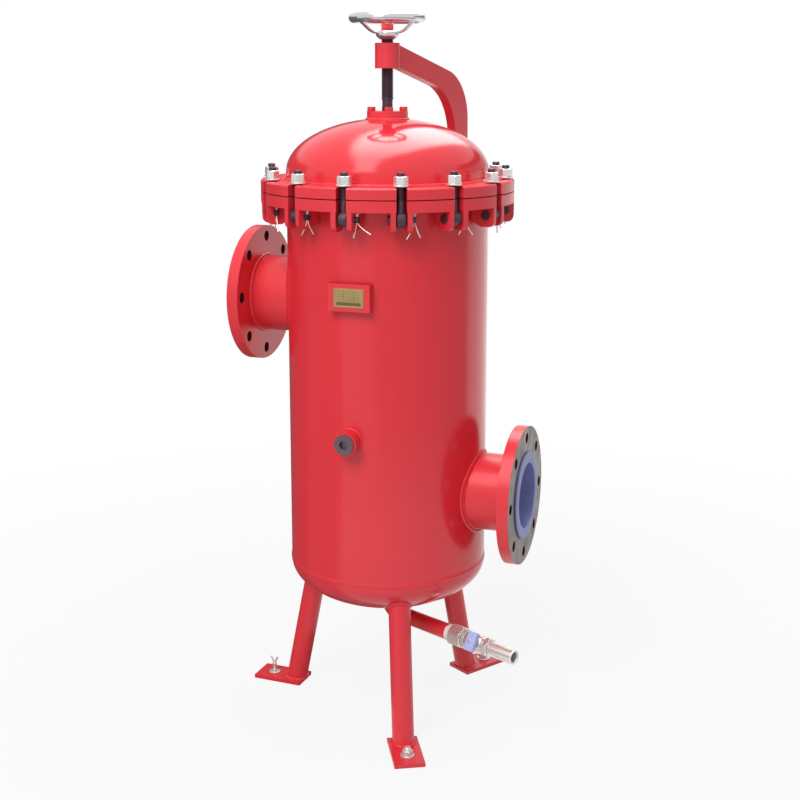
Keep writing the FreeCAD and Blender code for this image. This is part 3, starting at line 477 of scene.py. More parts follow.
def blank(name, **constants):
    """A material with a Principled BSDF, whose own sockets hold the constants, and its node tree."""
    material = bpy.data.materials.new(name)
    material.use_nodes = True
    for key, value in constants.items():
        material.node_tree.nodes["Principled BSDF"].inputs[key.replace("_", " ")].default_value = value
    return material, material.node_tree


def surfaced(material, coat, strength, distance=0.0004, rounding=0.0):
    """Links a coat's tone, roughness and height to the shader, over edges rounded by a small radius."""
    tree = material.node_tree
    shader = tree.nodes["Principled BSDF"]
    tree.links.new(coat["Color"], shader.inputs["Base Color"])
    tree.links.new(coat["Roughness"], shader.inputs["Roughness"])
    if strength:
        bump = node(tree, "ShaderNodeBump", Height=coat["Height"], Strength=strength, Distance=distance)
        tree.links.new(bump.outputs["Normal"], shader.inputs["Normal"])
        if rounding:
            edge = node(tree, "ShaderNodeBevel", {"samples": 4}, Radius=rounding)
            tree.links.new(edge.outputs["Normal"], bump.inputs["Normal"])
    return material


def place_of(tree):
    """The point on the object."""
    return node(tree, "ShaderNodeTexCoord").outputs["Object"]


def colours():
    """The colours that a user can change."""
    return bpy.context.scene.filter_colours


def toned(colour, level):
    """A colour made darker or lighter."""
    return [channel * level for channel in colour]


def mottled(name, tones, coarse, fine, rough, bump, distance=0.0004, rounding=0.0, clouds=(0.0, 1.0),
            stretch=None, **constants):
    """A material of two tones, with coarse noise in its tone and gloss and fine noise in its height.

    Both can be drawn out one way.
    """
    material, tree = blank(name, **constants)
    place = place_of(tree)
    if stretch:
        place = node(tree, "ShaderNodeMapping", Vector=place, Scale=stretch).outputs["Vector"]
    coat = mottle(tree, place, tones, coarse, fine, rough, clouds)
    return surfaced(material, coat, bump, distance, rounding)


def metal(name, light, dark, lines, clouds, rough, bump, **more):
    """A bare or plated metal with fine lines and a mottled tone."""
    return mottled(name, (light, dark), (clouds, 4.0), (lines, 2.0), rough, bump, clouds=METAL_CLOUDS,
                   **more)


def red_enamel(name, rough):
    """Red enamel with cloudy thickness and orange peel, at a roughness from low to high."""
    tones = colours().enamel, colours().enamel_shade
    return mottled(name, tones, ENAMEL_CLOUDS, ENAMEL_PEEL, rough, 0.09, 0.0006, 0.0012)


def lid_enamel():
    """The lid's enamel, with the fullest gloss."""
    return red_enamel("lid_enamel", (0.10, 0.20))


def shell_enamel():
    """The shell's enamel, a little softer."""
    return red_enamel("shell_enamel", (0.15, 0.26))


def enamel():
    """The enamel of the smaller parts, softer again."""
    return red_enamel("red_enamel", ENAMEL_ROUGH)


def reach_and_hole_shade(tree, y, z):
    """The way from the flange's axis, and a mask that is 1 inside a bolt hole, where painted shade darkens
    the bore.

    The angle is folded to one hole's, and the way to that hole's centre is compared with its radius.
    """
    reach = hypotenuse(tree, y, z)
    step = 2 * math.pi / FLANGE_HOLES
    angle = maths(tree, "SUBTRACT", maths(tree, "ARCTAN2", z, y), math.radians(FLANGE_HOLE_TURN))
    swing = maths(tree, "SUBTRACT", maths(tree, "FLOORED_MODULO", angle, step), step / 2)
    along = maths(tree, "MULTIPLY", reach, maths(tree, "COSINE", swing))
    ahead = maths(tree, "SUBTRACT", along, FLANGE_HOLE_CIRCLE_R)
    beside = maths(tree, "MULTIPLY", reach, maths(tree, "SINE", swing))
    return reach, maths(tree, "LESS_THAN", hypotenuse(tree, ahead, beside), FLANGE_HOLE_R + HOLE_GAP)


def flange_finish(name, way, centre_z):
    """Red enamel, with painted shade darkening the bolt holes, and a bare turned face at the flange's end
    with fine rings in it.
    """
    material, tree = blank(name)
    place = place_of(tree)
    red = colours().enamel
    coat = mottle(tree, place, (red, colours().enamel_shade), ENAMEL_CLOUDS, ENAMEL_PEEL, ENAMEL_ROUGH)
    turned_steel = (0.24, 0.215, 0.195), (0.145, 0.13, 0.12)
    face = mottle(tree, place, turned_steel, (28.0, 4.0), (5.0, 2.0), (0.38, 0.6), METAL_CLOUDS)
    axis = node(tree, "ShaderNodeSeparateXYZ", Vector=place).outputs
    # hole is the mask of the painted shade: 1 inside the bolt holes
    reach, hole = reach_and_hole_shade(tree, axis["Y"], maths(tree, "SUBTRACT", axis["Z"], centre_z))
    bare = maths(tree, "GREATER_THAN", maths(tree, "MULTIPLY", axis["X"], way), NOZZLE_REACH - FACE_GAP)
    rings = noise(tree, node(tree, "ShaderNodeCombineXYZ", X=reach).outputs["Vector"], 1400.0, 1.0)
    # Painted shade: inside the bolt holes the enamel is darkened to 0.12 of its red, standing in for the
    # shade in the bores
    painted = blended(tree, hole, coat["Color"], (*toned(red, 0.12), 1.0), "RGBA")
    both = {"Color": blended(tree, bare, painted, face["Color"], "RGBA"),
            "Roughness": blended(tree, bare, coat["Roughness"], face["Roughness"]),
            "Height": blended(tree, bare, coat["Height"], rings)}
    tree.links.new(bare, tree.nodes["Principled BSDF"].inputs["Metallic"])
    return surfaced(material, both, 0.08, 0.0006, 0.0008)


def outlet_flange_finish():
    """The outlet flange: enamel with a bare face towards +X."""
    return flange_finish("outlet_flange_finish", 1.0, OUTLET_Z)


def inlet_flange_finish():
    """The inlet flange: enamel with a bare face towards -X."""
    return flange_finish("inlet_flange_finish", -1.0, INLET_Z)


def oxide():
    """Black oxide on steel, with an oily sheen."""
    dark = colours().oxide
    return metal("black_oxide", toned(dark, 1.6), dark, 700.0, 90.0, (0.3, 0.5), 0.12, rounding=0.0006,
                 Metallic=0.55, Specular_IOR_Level=0.6)


def port_steel():
    """The port plug's oiled steel, lighter than the bolts."""
    return metal("port_steel", (0.19, 0.13, 0.15), (0.11, 0.075, 0.09), 700.0, 90.0, (0.28, 0.45), 0.12,
                 rounding=0.0006, Metallic=0.55)


def zinc():
    """Bright zinc plate on the nuts and washers."""
    light = colours().zinc
    return metal("zinc_plate", light, toned(light, 0.72), 900.0, 130.0, (0.2, 0.38), 0.10, rounding=0.0004,
                 Metallic=0.7)


def chrome():
    """Polished chrome plate."""
    return metal("chrome_plate", (0.66, 0.67, 0.68), (0.56, 0.57, 0.59), 300.0, 25.0, (0.08, 0.18), 0.03,
                 Metallic=0.9)


def nickel():
    """Nickel plated valve metal, warmer where it is worn."""
    return metal("nickel_plate", (0.82, 0.81, 0.78), (0.60, 0.56, 0.50), 800.0, 55.0, (0.18, 0.34), 0.08,
                 rounding=0.0005, Metallic=0.75)


def ball_polish():
    """The valve ball's mirror polish."""
    return metal("ball_polish", (0.8, 0.8, 0.8), (0.72, 0.72, 0.72), 1500.0, 80.0, (0.04, 0.09), 0.01,
                 Metallic=1.0)


def tail_steel():
    """The spigot's drawn steel, brownish below its plating."""
    return metal("tail_steel", (0.90, 0.89, 0.87), (0.68, 0.63, 0.58), 600.0, 34.0, (0.2, 0.4), 0.08,
                 rounding=0.0006, Metallic=0.65)


def split_wire():
    """Bright wire of the split pins."""
    return metal("split_wire", (0.86, 0.80, 0.76), (0.66, 0.58, 0.54), 900.0, 200.0, (0.22, 0.36), 0.05,
                 Metallic=1.0)


def inner_steel():
    """Machined steel of the inner parts."""
    return metal("inner_steel", (0.52, 0.52, 0.50), (0.34, 0.34, 0.33), 700.0, 40.0, (0.3, 0.5), 0.10,
                 rounding=0.0006, Metallic=1.0)


def cap_metal():
    """Zinc plated end caps of the filter elements."""
    return metal("cap_metal", (0.70, 0.68, 0.58), (0.55, 0.54, 0.48), 500.0, 60.0, (0.25, 0.42), 0.06,
                 rounding=0.0006, Metallic=1.0)


def brass():
    """Brushed brass of the data plate, brushed along X."""
    light = colours().brass
    return metal("plate_brass", light, toned(light, 0.62), 2600.0, 95.0, (0.3, 0.5), 0.15,
                 distance=0.0003, stretch=(0.06, 1.0, 1.0), Metallic=0.85)


def handle_paint():
    """Blue enamel of the valve handle."""
    blue = colours().handle
    return mottled("handle_blue", (blue, toned(blue, 0.8)), (60.0, 3.0), (700.0, 1.0), (0.10, 0.20), 0.1,
                   Specular_IOR_Level=0.55)


def cap_plastic():
    """Moulded blue plastic, matt with fine flow marks."""
    blue = colours().cap
    return mottled("cap_plastic", (toned(blue, 1.25), toned(blue, 0.75)), (22.0, 3.0), (900.0, 1.0),
                   (0.34, 0.55), 0.12, 0.0003)


def plate_lacquer():
    """Dark lacquer in the data plate's ruled fields, worn thin in places."""
    tones, wear = ((0.045, 0.030, 0.016), (0.20, 0.13, 0.06)), (420.0, 3.0)
    return mottled("plate_lacquer", tones, wear, wear, (0.35, 0.6), 0.0)


def nitrile():
    """Black rubber of the gasket, with bloom on it."""
    tones, bloom = ((0.012, 0.012, 0.012), (0.04, 0.037, 0.036)), (45.0, 5.0)
    return mottled("gasket_nitrile", tones, bloom, bloom, (0.65, 0.85), 0.1, Specular_IOR_Level=0.3)


def seal_tape():
    """White thread tape, wound in thin layers of fibre."""
    tones, fibre = ((0.66, 0.66, 0.65), (0.88, 0.88, 0.87)), (420.0, 4.0)
    return mottled("seal_tape", tones, fibre, fibre, (0.5, 0.75), 0.35, Specular_IOR_Level=0.4,
                   Sheen_Weight=0.3)


def pleat_cloth():
    """Cream filter cloth with a fine mesh weave."""
    material, tree = blank("pleat_cloth", Specular_IOR_Level=0.25, Sheen_Weight=0.4)
    place = place_of(tree)
    wave = node(tree, "ShaderNodeTexWave", {"bands_direction": "Z"}, Vector=place, Scale=160.0,
                Distortion=1.5, Detail=1.0)
    weave = wave.outputs["Fac"]
    fibre = noise(tree, place, 300.0, 3.0)
    tone = blended(tree, fibre, (0.80, 0.76, 0.62, 1), (0.62, 0.56, 0.42, 1), "RGBA")
    coat = {"Color": tone, "Roughness": ranged(tree, weave, 0.7, 0.9), "Height": weave}
    return surfaced(material, coat, 0.3)


@functools.cache
def finish(maker):
    """A finish's material, made the first time it is asked for."""
    return maker()


NODE_FINISHES = {
    lid_enamel: ("lid_dome",),
    shell_enamel: ("vessel_shell", "lower_head"),
    enamel: ("body_flange", "lid_flange", "hinge_ears", "lid_boss", "hub_plate", "hub_bolts", "wheel_nut",
             "davit_arm", "davit_post", "davit_socket", "davit_bracket", "inlet_pipe", "outlet_pipe",
             "support_legs", "foot_plates", "drain_pipe", "nameplate_holder", "port_boss"),
    outlet_flange_finish: ("outlet_flange",),
    inlet_flange_finish: ("inlet_flange",),
    oxide: ("hinge_pins", "lift_screw", *BOLT_NODES),
    port_steel: ("port_plug",),
    chrome: ("handwheel",),
    nickel: ("valve_body", "valve_stem"),
    ball_polish: ("valve_ball",),
    tail_steel: ("drain_spigot",),
    handle_paint: ("valve_handle",),
    cap_plastic: ("outlet_plug",),
    brass: ("nameplate",),
    nitrile: ("gasket",),
    inner_steel: ("thrust_ring", "support_ring", "tube_sheet", "hold_down_plate", "tie_rods", "bypass_body",
                  "bypass_poppet", "bypass_spring"),
    cap_metal: ("element_caps",),
    pleat_cloth: ("element_media",),
}


# Pieces


def bolt_azimuth(number):
    """Where a swing bolt stands about the vessel's axis."""
    return FIRST_BOLT_AZIMUTH + 360.0 / BOLT_COUNT * number


def make_swing_bolt(number, sizes):
    """An eye bolt with its rolled thread, its washer and its chamfered nut."""
    eye_bore_r, eye_r, eye_half, thread_depth = 0.00605, 0.015, 0.009, 0.0011
    washer_height, nut_twist = 0.003, 17.0
    neck_z, shoulder_z, thread_z, neck_top = (PIN_Z + rise for rise in (0.009, 0.022, 0.034, 0.036))
    axes = around_axis(bolt_azimuth(number))
    foot = BOLT_CIRCLE_R * axes[0]
    shank_r = sizes.shank_d / 2
    bore_r = shank_r + BORE_GAP
    eye = eased_ring(band(eye_bore_r, eye_r, -eye_half, eye_half), 0.0028)
    neck = eased([(0, neck_z), (shank_r * 1.1, neck_z), (shank_r, shoulder_z), (shank_r, neck_top),
                  (0, neck_top)], 0.004)
    steel = [turned(eye, foot + PIN_Z * UP, axes[[2, 0, 1]], 40), turned(neck, foot, axes, 28),
             threaded(shank_r, sizes.shank_pitch, thread_depth, thread_z, BOLT_TOP_Z, foot, axes)]
    washer_top = WASHER_Z + washer_height
    plated = [washer(bore_r, sizes.washer_d / 2, WASHER_Z, washer_top, 0.0007, foot, axes, 40),
              hexagon(sizes.nut_across, sizes.nut_height, bore_r, foot + washer_top * UP,
                      around_axis(bolt_azimuth(number) + nut_twist * number))]
    make_piece(f"swing_bolt_set_{number + 1:02d}", {oxide: steel, zinc: plated}, f"bolt_{number + 1:02d}",
               [BOLT_NODES[number]])


def make_split_pins(sizes):
    """A bent wire through each hinge pin's tail: sideways run L sin(a) s^1.4, downward run L cos(a) s.

    Leans and lengths differ from pin to pin as sines of its number. The legs lean less than the angle clear
    towards their bolt, which swings down past them.
    """
    s = np.linspace(0, 1, 14)
    half = sizes.split_wire_d / 2
    clear = math.radians(-29.4)
    leg_start, shank_foot, shank_top = -0.006, -0.003, 0.0085
    eye_foot, eye_width, eye_height = 0.0105, 0.0030, 0.0032
    loop = np.linspace(-0.5 * np.pi, 1.5 * np.pi, 19)[1:-1]
    eye = np.stack([-eye_width * np.cos(loop), eye_foot + eye_height + eye_height * np.sin(loop)], axis=1)
    shank = np.array([[-half, shank_foot], [-half, shank_top]])
    wires = []
    for number in range(BOLT_COUNT):
        axes = around_axis(bolt_azimuth(number))
        centre = BOLT_CIRCLE_R * axes[0] + PIN_HOLE_REACH * axes[1] + PIN_Z * UP
        swing = math.radians(14.0 * math.sin(2.3 * number + 0.4))
        legs = []
        for way, spread in ((-1, 18 + 12 * math.sin(1.7 * number)), (1, 30 + 16 * math.cos(2.9 * number))):
            lean = max(math.radians(spread) * way + swing, clear)
            reach = sizes.split_leg * (1 + 0.08 * math.sin(3.1 * number + way))
            aside = way * half + reach * math.sin(lean) * s ** 1.4
            legs.append(np.stack([aside, leg_start - reach * math.cos(lean) * s], axis=1))
        flat = np.concatenate([legs[0][::-1], shank, eye, shank[::-1] * [-1, 1], legs[1]])
        wires.append(wire(centre + flat[:, :1] * axes[1] + flat[:, 1:] * axes[2], half, axes[0], 8))
    make_piece("split_pins", {split_wire: wires}, "root")


def make_lift_screw(sizes):
    """The lifting screw: foot collar and neck, a rolled thread and the stub that carries the wheel."""
    collar_r, collar_height, neck_r, neck_rise = 0.022, 0.006, 0.0105, 0.022
    thread_r, thread_depth, stub_r = 0.01225, 0.0015, 0.009
    collar_z = SCREW_FOOT_Z + collar_height
    neck_z = HUB_TOP_Z + neck_rise
    thread_z, start_z, core_top = (neck_z + rise for rise in (0.0012, 0.0015, 0.002))
    start_r = 0.97 * thread_r
    low = eased([(0, SCREW_FOOT_Z), (collar_r, SCREW_FOOT_Z), (collar_r, collar_z), (neck_r, collar_z),
                 (neck_r, neck_z), (start_r, start_z), (start_r, core_top), (0, core_top)], 0.0006, 2)
    thread = threaded(thread_r, sizes.screw_pitch, thread_depth, thread_z, WHEEL_Z, steps=44, flat=0.12,
                      tip=0.0004)
    screw = [turned(low), thread, peg(stub_r, WHEEL_Z, SCREW_TOP_Z, 0.0012)]
    make_piece("screw_threaded", {oxide: screw}, "screw", ["lift_screw"])


def make_hub_bolts(sizes):
    """Painted hexagon bolts on the hub plate."""
    count, first_azimuth, circle_r, head_height, twist = 4, 25.0, 0.0325, 0.0085, 31.0
    shank_r, shank_foot, shank_top = 0.005, HUB_TOP_Z - 0.023, HUB_TOP_Z + 0.001
    bolts = []
    for number in range(count):
        place = circle_r * around_axis(first_azimuth + 360.0 / count * number)[0]
        bolts.append(hexagon(sizes.hub_across, head_height, 0.0, place + HUB_TOP_Z * UP,
                             around_axis(twist * number)))
        bolts.append(peg(shank_r, shank_foot, shank_top, 0.0008, place, LEVEL, 24))
    make_piece("hub_bolt_set", {enamel: bolts}, "root", ["hub_bolts"])


def make_wheel_nut():
    """The painted nut that holds the handwheel."""
    across, height = 0.024, 0.015
    nut = hexagon(across, height, WHEEL_BORE_R, (WHEEL_Z + WHEEL_HUB_HEIGHT) * UP, around_axis(WHEEL_TURN))
    make_piece("wheel_nut_chamfered", {enamel: [nut]}, "screw", ["wheel_nut"])


def spoke_surface(profile, width, thickness, azimuth, steps=20):
    """A spoke: a squared oval |x/w|^3 + |y/t|^3 = 1 carried along a bent path of (radius, height)."""
    path = eased(profile, 0.012, 6)
    tangent = directions(path)
    normal = np.stack([-tangent[:, 1], tangent[:, 0]], axis=1)[:, None]
    angle = once_round(steps)
    across, thick = (np.sign(wave) * np.abs(wave) ** (2 / 3) for wave in (np.cos(angle), np.sin(angle)))
    section = path[:, None] + normal * thick[:, None] * thickness / 2
    side = np.broadcast_to(across * width / 2, section.shape[:2])
    grid = np.stack([section[..., 0], side, section[..., 1]], axis=-1) @ around_axis(azimuth)
    return capped(grid, grid[0, :-1].mean(axis=0), grid[-1, :-1].mean(axis=0))


def make_handwheel():
    """The chromed wheel: a cast hub like a cup, three bent spokes and a round rim."""
    wire_r, spoke_width, spoke_thickness, spoke_count = 0.0095, 0.013, 0.005, 3
    hub = [(WHEEL_BORE_R, 0.0), (0.0145, 0.0), (0.0185, 0.0035), (0.0225, 0.0070), (0.0230, 0.0135),
           (0.0205, WHEEL_HUB_HEIGHT), (WHEEL_BORE_R, WHEEL_HUB_HEIGHT)]
    hub = eased_ring([(r, WHEEL_Z + z) for r, z in hub], 0.0018)
    rim_z = WHEEL_TOP_Z - wire_r
    angle = once_round(32)
    rim = np.stack([WHEEL_R - wire_r + wire_r * np.cos(angle), rim_z + wire_r * np.sin(angle)], axis=1)
    path = [(0.016, WHEEL_Z + 0.0120), (0.0355, WHEEL_Z + 0.0150), (WHEEL_R - 0.011, rim_z - 0.002)]
    spokes = [spoke_surface(path, spoke_width, spoke_thickness, WHEEL_TURN + 360.0 / spoke_count * number)
              for number in range(spoke_count)]
    wheel = [turned(hub, steps=72), turned(rim, steps=128), *spokes]
    make_piece("handwheel_chromed", {chrome: wheel}, "screw", ["handwheel"])


def saddle_path(angle, radius, out, side, aside, centre_z):
    """Where a level pipe meets the shell: w = aside + r cos a, z = zc + r sin a, outward sqrt(R^2 - w^2)."""
    across = aside + radius * np.cos(angle)
    height = centre_z + radius * np.sin(angle)
    path = np.sqrt(SHELL_R ** 2 - across ** 2) * out + across * side + height * UP
    pipe_out = np.cos(angle) * side + np.sin(angle) * UP
    return path, unit(unit(path * [1, 1, 0]) + pipe_out)


def leg_wall(angle, azimuth):
    """Points round a leg's foot, the way outward at each, and the direction up the leg."""
    axes = around_axis(azimuth)
    lean = math.radians(LEG_SPLAY)
    leg = axes_along(math.cos(lean) * UP - math.sin(lean) * axes[0], axes[0])
    outward = np.cos(angle) * leg[0] + np.sin(angle) * leg[1]
    return LEG_FOOT_R * axes[0] + FOOT_TOP_Z * UP + LEG_R * outward, outward, leg[2]


def leg_top_path(angle, azimuth):
    """Where a leg's tube meets the head: the first root t of |(p0 + t d) / (R, R, D)| = 1 from below."""
    foot, outward, up_leg = leg_wall(angle, azimuth)
    stretch = 1 / np.array([SHELL_R, SHELL_R, HEAD_DEPTH])
    start = (foot - HEAD_SPRING_Z * UP) * stretch
    way = up_leg * stretch
    a = way @ way
    b = start @ way
    c = np.sum(start * start, axis=1) - 1
    path = foot + ((-b - np.sqrt(b * b - a * c)) / a)[:, None] * up_leg
    return path, unit(unit((path - HEAD_SPRING_Z * UP) * stretch ** 2) + outward)


def leg_foot_path(angle, azimuth):
    """Where a leg's tube meets its foot plate."""
    foot, outward, up_leg = leg_wall(angle, azimuth)
    return foot + (FOOT_TOP_Z - foot[:, 2:]) / up_leg[2] * up_leg, unit(outward + UP)


def ring_path(angle, radius, centre, axes, lean):
    """A circle about a frame's third direction, with the bead's crest leaning along it."""
    outward = np.cos(angle) * axes[0] + np.sin(angle) * axes[1]
    return centre + radius * outward, unit(outward + lean * axes[2])


def dish_rise(depth, radius):
    """How far a dished end stands out at a radius: depth * sqrt(1 - (r / R)^2)."""
    return depth * math.sqrt(1 - (radius / SHELL_R) ** 2)


def make_welds(sizes):
    """Every weld bead of the vessel, each a rippled oval carried round its own joint."""
    def add(name, path, lift, width, height=None):
        grid = bead(path, lift, width, height or width, sizes)
        make_piece(f"weld_{name}", {enamel: [grid]}, "root", sharp=60.0)

    def angles(radius):
        count = max(48, int(2 * math.pi * radius / sizes.ripple_pitch) * 6)
        return np.linspace(0, 2 * np.pi, count, endpoint=False)[:, None]

    root, thin, fine = sizes.root, sizes.thin, sizes.fine
    seam_width, seam_height, second_out = 0.0052, 0.0013, 0.0064
    wide, root_flat, second_flat, flange_flat = 1.15, 0.62, 0.5, 0.8
    around, small, tight = angles(SHELL_R), angles(NOZZLE_R), angles(LEG_R)
    add("head_seam", *ring_path(around, SHELL_R, SEAM_Z * UP, LEVEL, 0.0), seam_width, seam_height)
    add("body_flange", *ring_path(around, SHELL_R, BODY_FLANGE_Z * UP, LEVEL, -1.0), thin)
    add("lid_flange", *ring_path(around, SHELL_R, LID_Z * UP, LEVEL, 1.0), thin)
    for name, way, centre_z in (("inlet", -1.0, INLET_Z), ("outlet", 1.0, OUTLET_Z)):
        for bead_name, further, size, flat in (("root", 0.0, root, root_flat),
                                               ("second", second_out, thin, second_flat)):
            path = saddle_path(small, NOZZLE_R + further, way * RIGHT, BACK, 0.0, centre_z)
            add(f"{name}_{bead_name}", *path, size * wide, size * flat)
        back = way * FLANGE_BACK * RIGHT + centre_z * UP
        path = ring_path(small, NOZZLE_R, back, axes_along(way * RIGHT, UP), -1.0)
        add(f"{name}_flange", *path, root, root * flange_flat)
    for number, azimuth in enumerate(LEG_AZIMUTHS, 1):
        add(f"leg_top_{number}", *leg_top_path(tight, azimuth), thin)
        add(f"leg_foot_{number}", *leg_foot_path(tight, azimuth), thin)
    boss_foot = LID_SPRING_Z + dish_rise(LID_DEPTH, LID_BOSS_R)
    add("lid_boss", *ring_path(small, LID_BOSS_R, boss_foot * UP, LEVEL, 1.0), fine)
    drain_top = HEAD_SPRING_Z - dish_rise(HEAD_DEPTH, DRAIN_R)
    add("drain", *ring_path(tight, DRAIN_R, drain_top * UP, LEVEL, -1.0), fine)
    add("port", *saddle_path(tight, PORT_R, -BACK, RIGHT, PORT_X, PORT_Z), fine)


def drain_axes():
    """The ball's centre, a frame whose third direction runs out along the drain, and one for the stem."""
    outward = around_axis(DRAIN_AZIMUTH)[0]
    tilt = math.radians(STEM_TILT)
    stem = axes_along(math.cos(tilt) * around_axis(DRAIN_AZIMUTH - 90)[0] + math.sin(tilt) * UP, outward)
    axes = axes_along(outward, stem[2])
    return DRAIN_Z * UP + BALL_REACH * axes[2], axes, stem


def make_valve_body():
    """The ball valve: hexagon ends, a swelling barrel and the stem's gland."""
    nut_across, nut_length, barrel_end = 0.041, 0.032, 0.090
    cap_across, cap_length, cap_bore_r = 0.036, 0.012, 0.0131
    neck_r, housing_r, gland_r, gland_top = 0.0165, 0.0195, 0.008, 0.027
    centre, axes, stem = drain_axes()
    start = DRAIN_Z * UP + VALVE_START * axes[2]
    swell = [(0, -0.002), (neck_r, -0.002), (neck_r, 0.006), (housing_r, 0.013)]
    near = [(r, nut_length + z) for r, z in swell]
    far = [(r, barrel_end - z) for r, z in reversed(swell)]
    barrel = eased(near + far, 0.004)
    gland = eased([(0, 0.006), (gland_r, 0.006), (gland_r, 0.025), (0.0062, gland_top), (0, gland_top)],
                  0.0008)
    body = [hexagon(nut_across, nut_length, DRAIN_R + BORE_GAP, start, axes),
            turned(barrel, start, axes, 48),
            hexagon(cap_across, cap_length, cap_bore_r, start + barrel_end * axes[2], axes),
            turned(gland, centre, stem, 36)]
    make_piece("valve_body_dressed", {nickel: body}, "root", ["valve_body"])


def make_valve_stem():
    """The stem, which stands out of the handle a little."""
    rod_r, foot, top = 0.0045, 0.0105, HANDLE_FACE + 0.0022
    centre, _, stem = drain_axes()
    rod = eased([(0, foot), (rod_r, foot), (rod_r, HANDLE_FACE), (rod_r, top), (0, top)], 0.0008)
    make_piece("stem_turned", {nickel: [turned(rod, centre, stem, 28)]}, "drain_handle",
               ["valve_stem"])


def make_tail_spigot():
    """The spigot at the valve's end, with a chamfer outside and inside its mouth."""
    tail_r, neck_r, bore_r, tail_end = 0.015, 0.013, 0.010, TAIL_START + 0.062
    neck_length, shoulder, chamfer, lip = 0.010, 0.0004, 0.0015, 0.001
    profile = [(bore_r, TAIL_START - neck_length), (neck_r, TAIL_START - neck_length),
               (neck_r, TAIL_START + shoulder), (tail_r, TAIL_START + chamfer), (tail_r, tail_end - chamfer),
               (tail_r - lip, tail_end), (bore_r + chamfer, tail_end), (bore_r, tail_end - 2 * chamfer)]
    tail = turned(eased_ring(profile, 0.0008), DRAIN_Z * UP, drain_axes()[1], 56)
    make_piece("tail_spigot", {tail_steel: [tail]}, "root", ["drain_spigot"])


def make_thread_tape():
    """Tape on the drain's thread: r = r0 + w sin(5 a + k h), less a ragged first edge g cos^2(3 a)."""
    start, run, thick, waver, rag, rows = VALVE_START - 0.0125, 0.014, 0.0009, 0.0004, 0.0009, 10
    folds, drift, torn, sunk = 5, 900, 0.001, 0.0005
    angle = once_round(48)
    along = np.linspace(start, start + run, rows)[:, None]
    ragged = rag * (along < start + torn) * np.cos(3 * angle) ** 2
    layer = DRAIN_R + thick + waver * np.sin(folds * angle + drift * along) - ragged
    inner = np.full((1, len(angle)), DRAIN_R - sunk)
    layer = np.concatenate([inner, layer, inner, inner])
    along = np.concatenate([along[:1], along, along[-1:], along[:1]])
    tape = spun(layer, along, angle, DRAIN_Z * UP, drain_axes()[1])
    make_piece("thread_tape", {seal_tape: [tape]}, "root")


def make_valve_handle():
    """The folded handle: a face and two skirts bent from one sheet, thickened and rounded."""
    sheet, half_width, half_length, skirt, bend_r, edge_r = 0.003, 0.0105, 0.0195, 0.0095, 0.003, 0.0009
    narrowing = 0.10
    centre, _, stem = drain_axes()
    face = HANDLE_FACE - sheet / 2
    fold = eased([(-half_width, face - skirt), (-half_width, face), (half_width, face),
                  (half_width, face - skirt)], bend_r, 5)
    across = np.linspace(-half_length, half_length, 9)[:, None]
    taper = 1 - narrowing * (across / half_length) ** 2
    grid = np.stack(np.broadcast_arrays(fold[:, 0] * taper, across, fold[:, 1]), axis=-1)
    piece = make_piece("handle_folded", {handle_paint: [centre + grid @ stem]}, "drain_handle",
                       ["valve_handle"], close=False)
    thicken = piece.modifiers.new("Sheet", "SOLIDIFY")
    thicken.thickness = sheet
    thicken.offset = 0.0
    edge = piece.modifiers.new("Edges", "BEVEL")
    edge.width = edge_r
    edge.segments = 3
    edge.limit_method = "ANGLE"


def make_outlet_cap():
    """The moulded cap: a rim against the flange and a cup with a drafted wall inside the bore."""
    cup_r, rim_r, rim_height, wall, draft, depth, floor = 0.0732, 0.0900, 0.004, 0.006, 0.0025, 0.034, 0.003
    face = NOZZLE_REACH + 0.0003
    end = face + rim_height
    bottom = face - depth
    rows = [(0, bottom), (cup_r - draft, bottom), (cup_r, face), (rim_r, face), (rim_r, end),
            (cup_r - wall, end), (cup_r - wall - draft, bottom + floor), (0, bottom + floor)]
    grid = turned(eased(rows, 0.0013, 4), OUTLET_Z * UP, axes_along(RIGHT, UP), 112)
    make_piece("cap_moulded", {cap_plastic: [grid]}, "outlet_cap", ["outlet_plug"])


def rounded_frame(width, height, corner, steps=8):
    """Points round a rectangle with round corners, as (x, z) rows."""
    quarter = np.linspace(0, np.pi / 2, steps)
    rows = []
    for k, (sx, sz) in enumerate(((1, 1), (-1, 1), (-1, -1), (1, -1))):
        angle = quarter + k * np.pi / 2
        rows.append(np.stack([sx * (width / 2 - corner) + corner * np.cos(angle),
                              sz * (height / 2 - corner) + corner * np.sin(angle)], axis=1))
    return np.concatenate(rows)


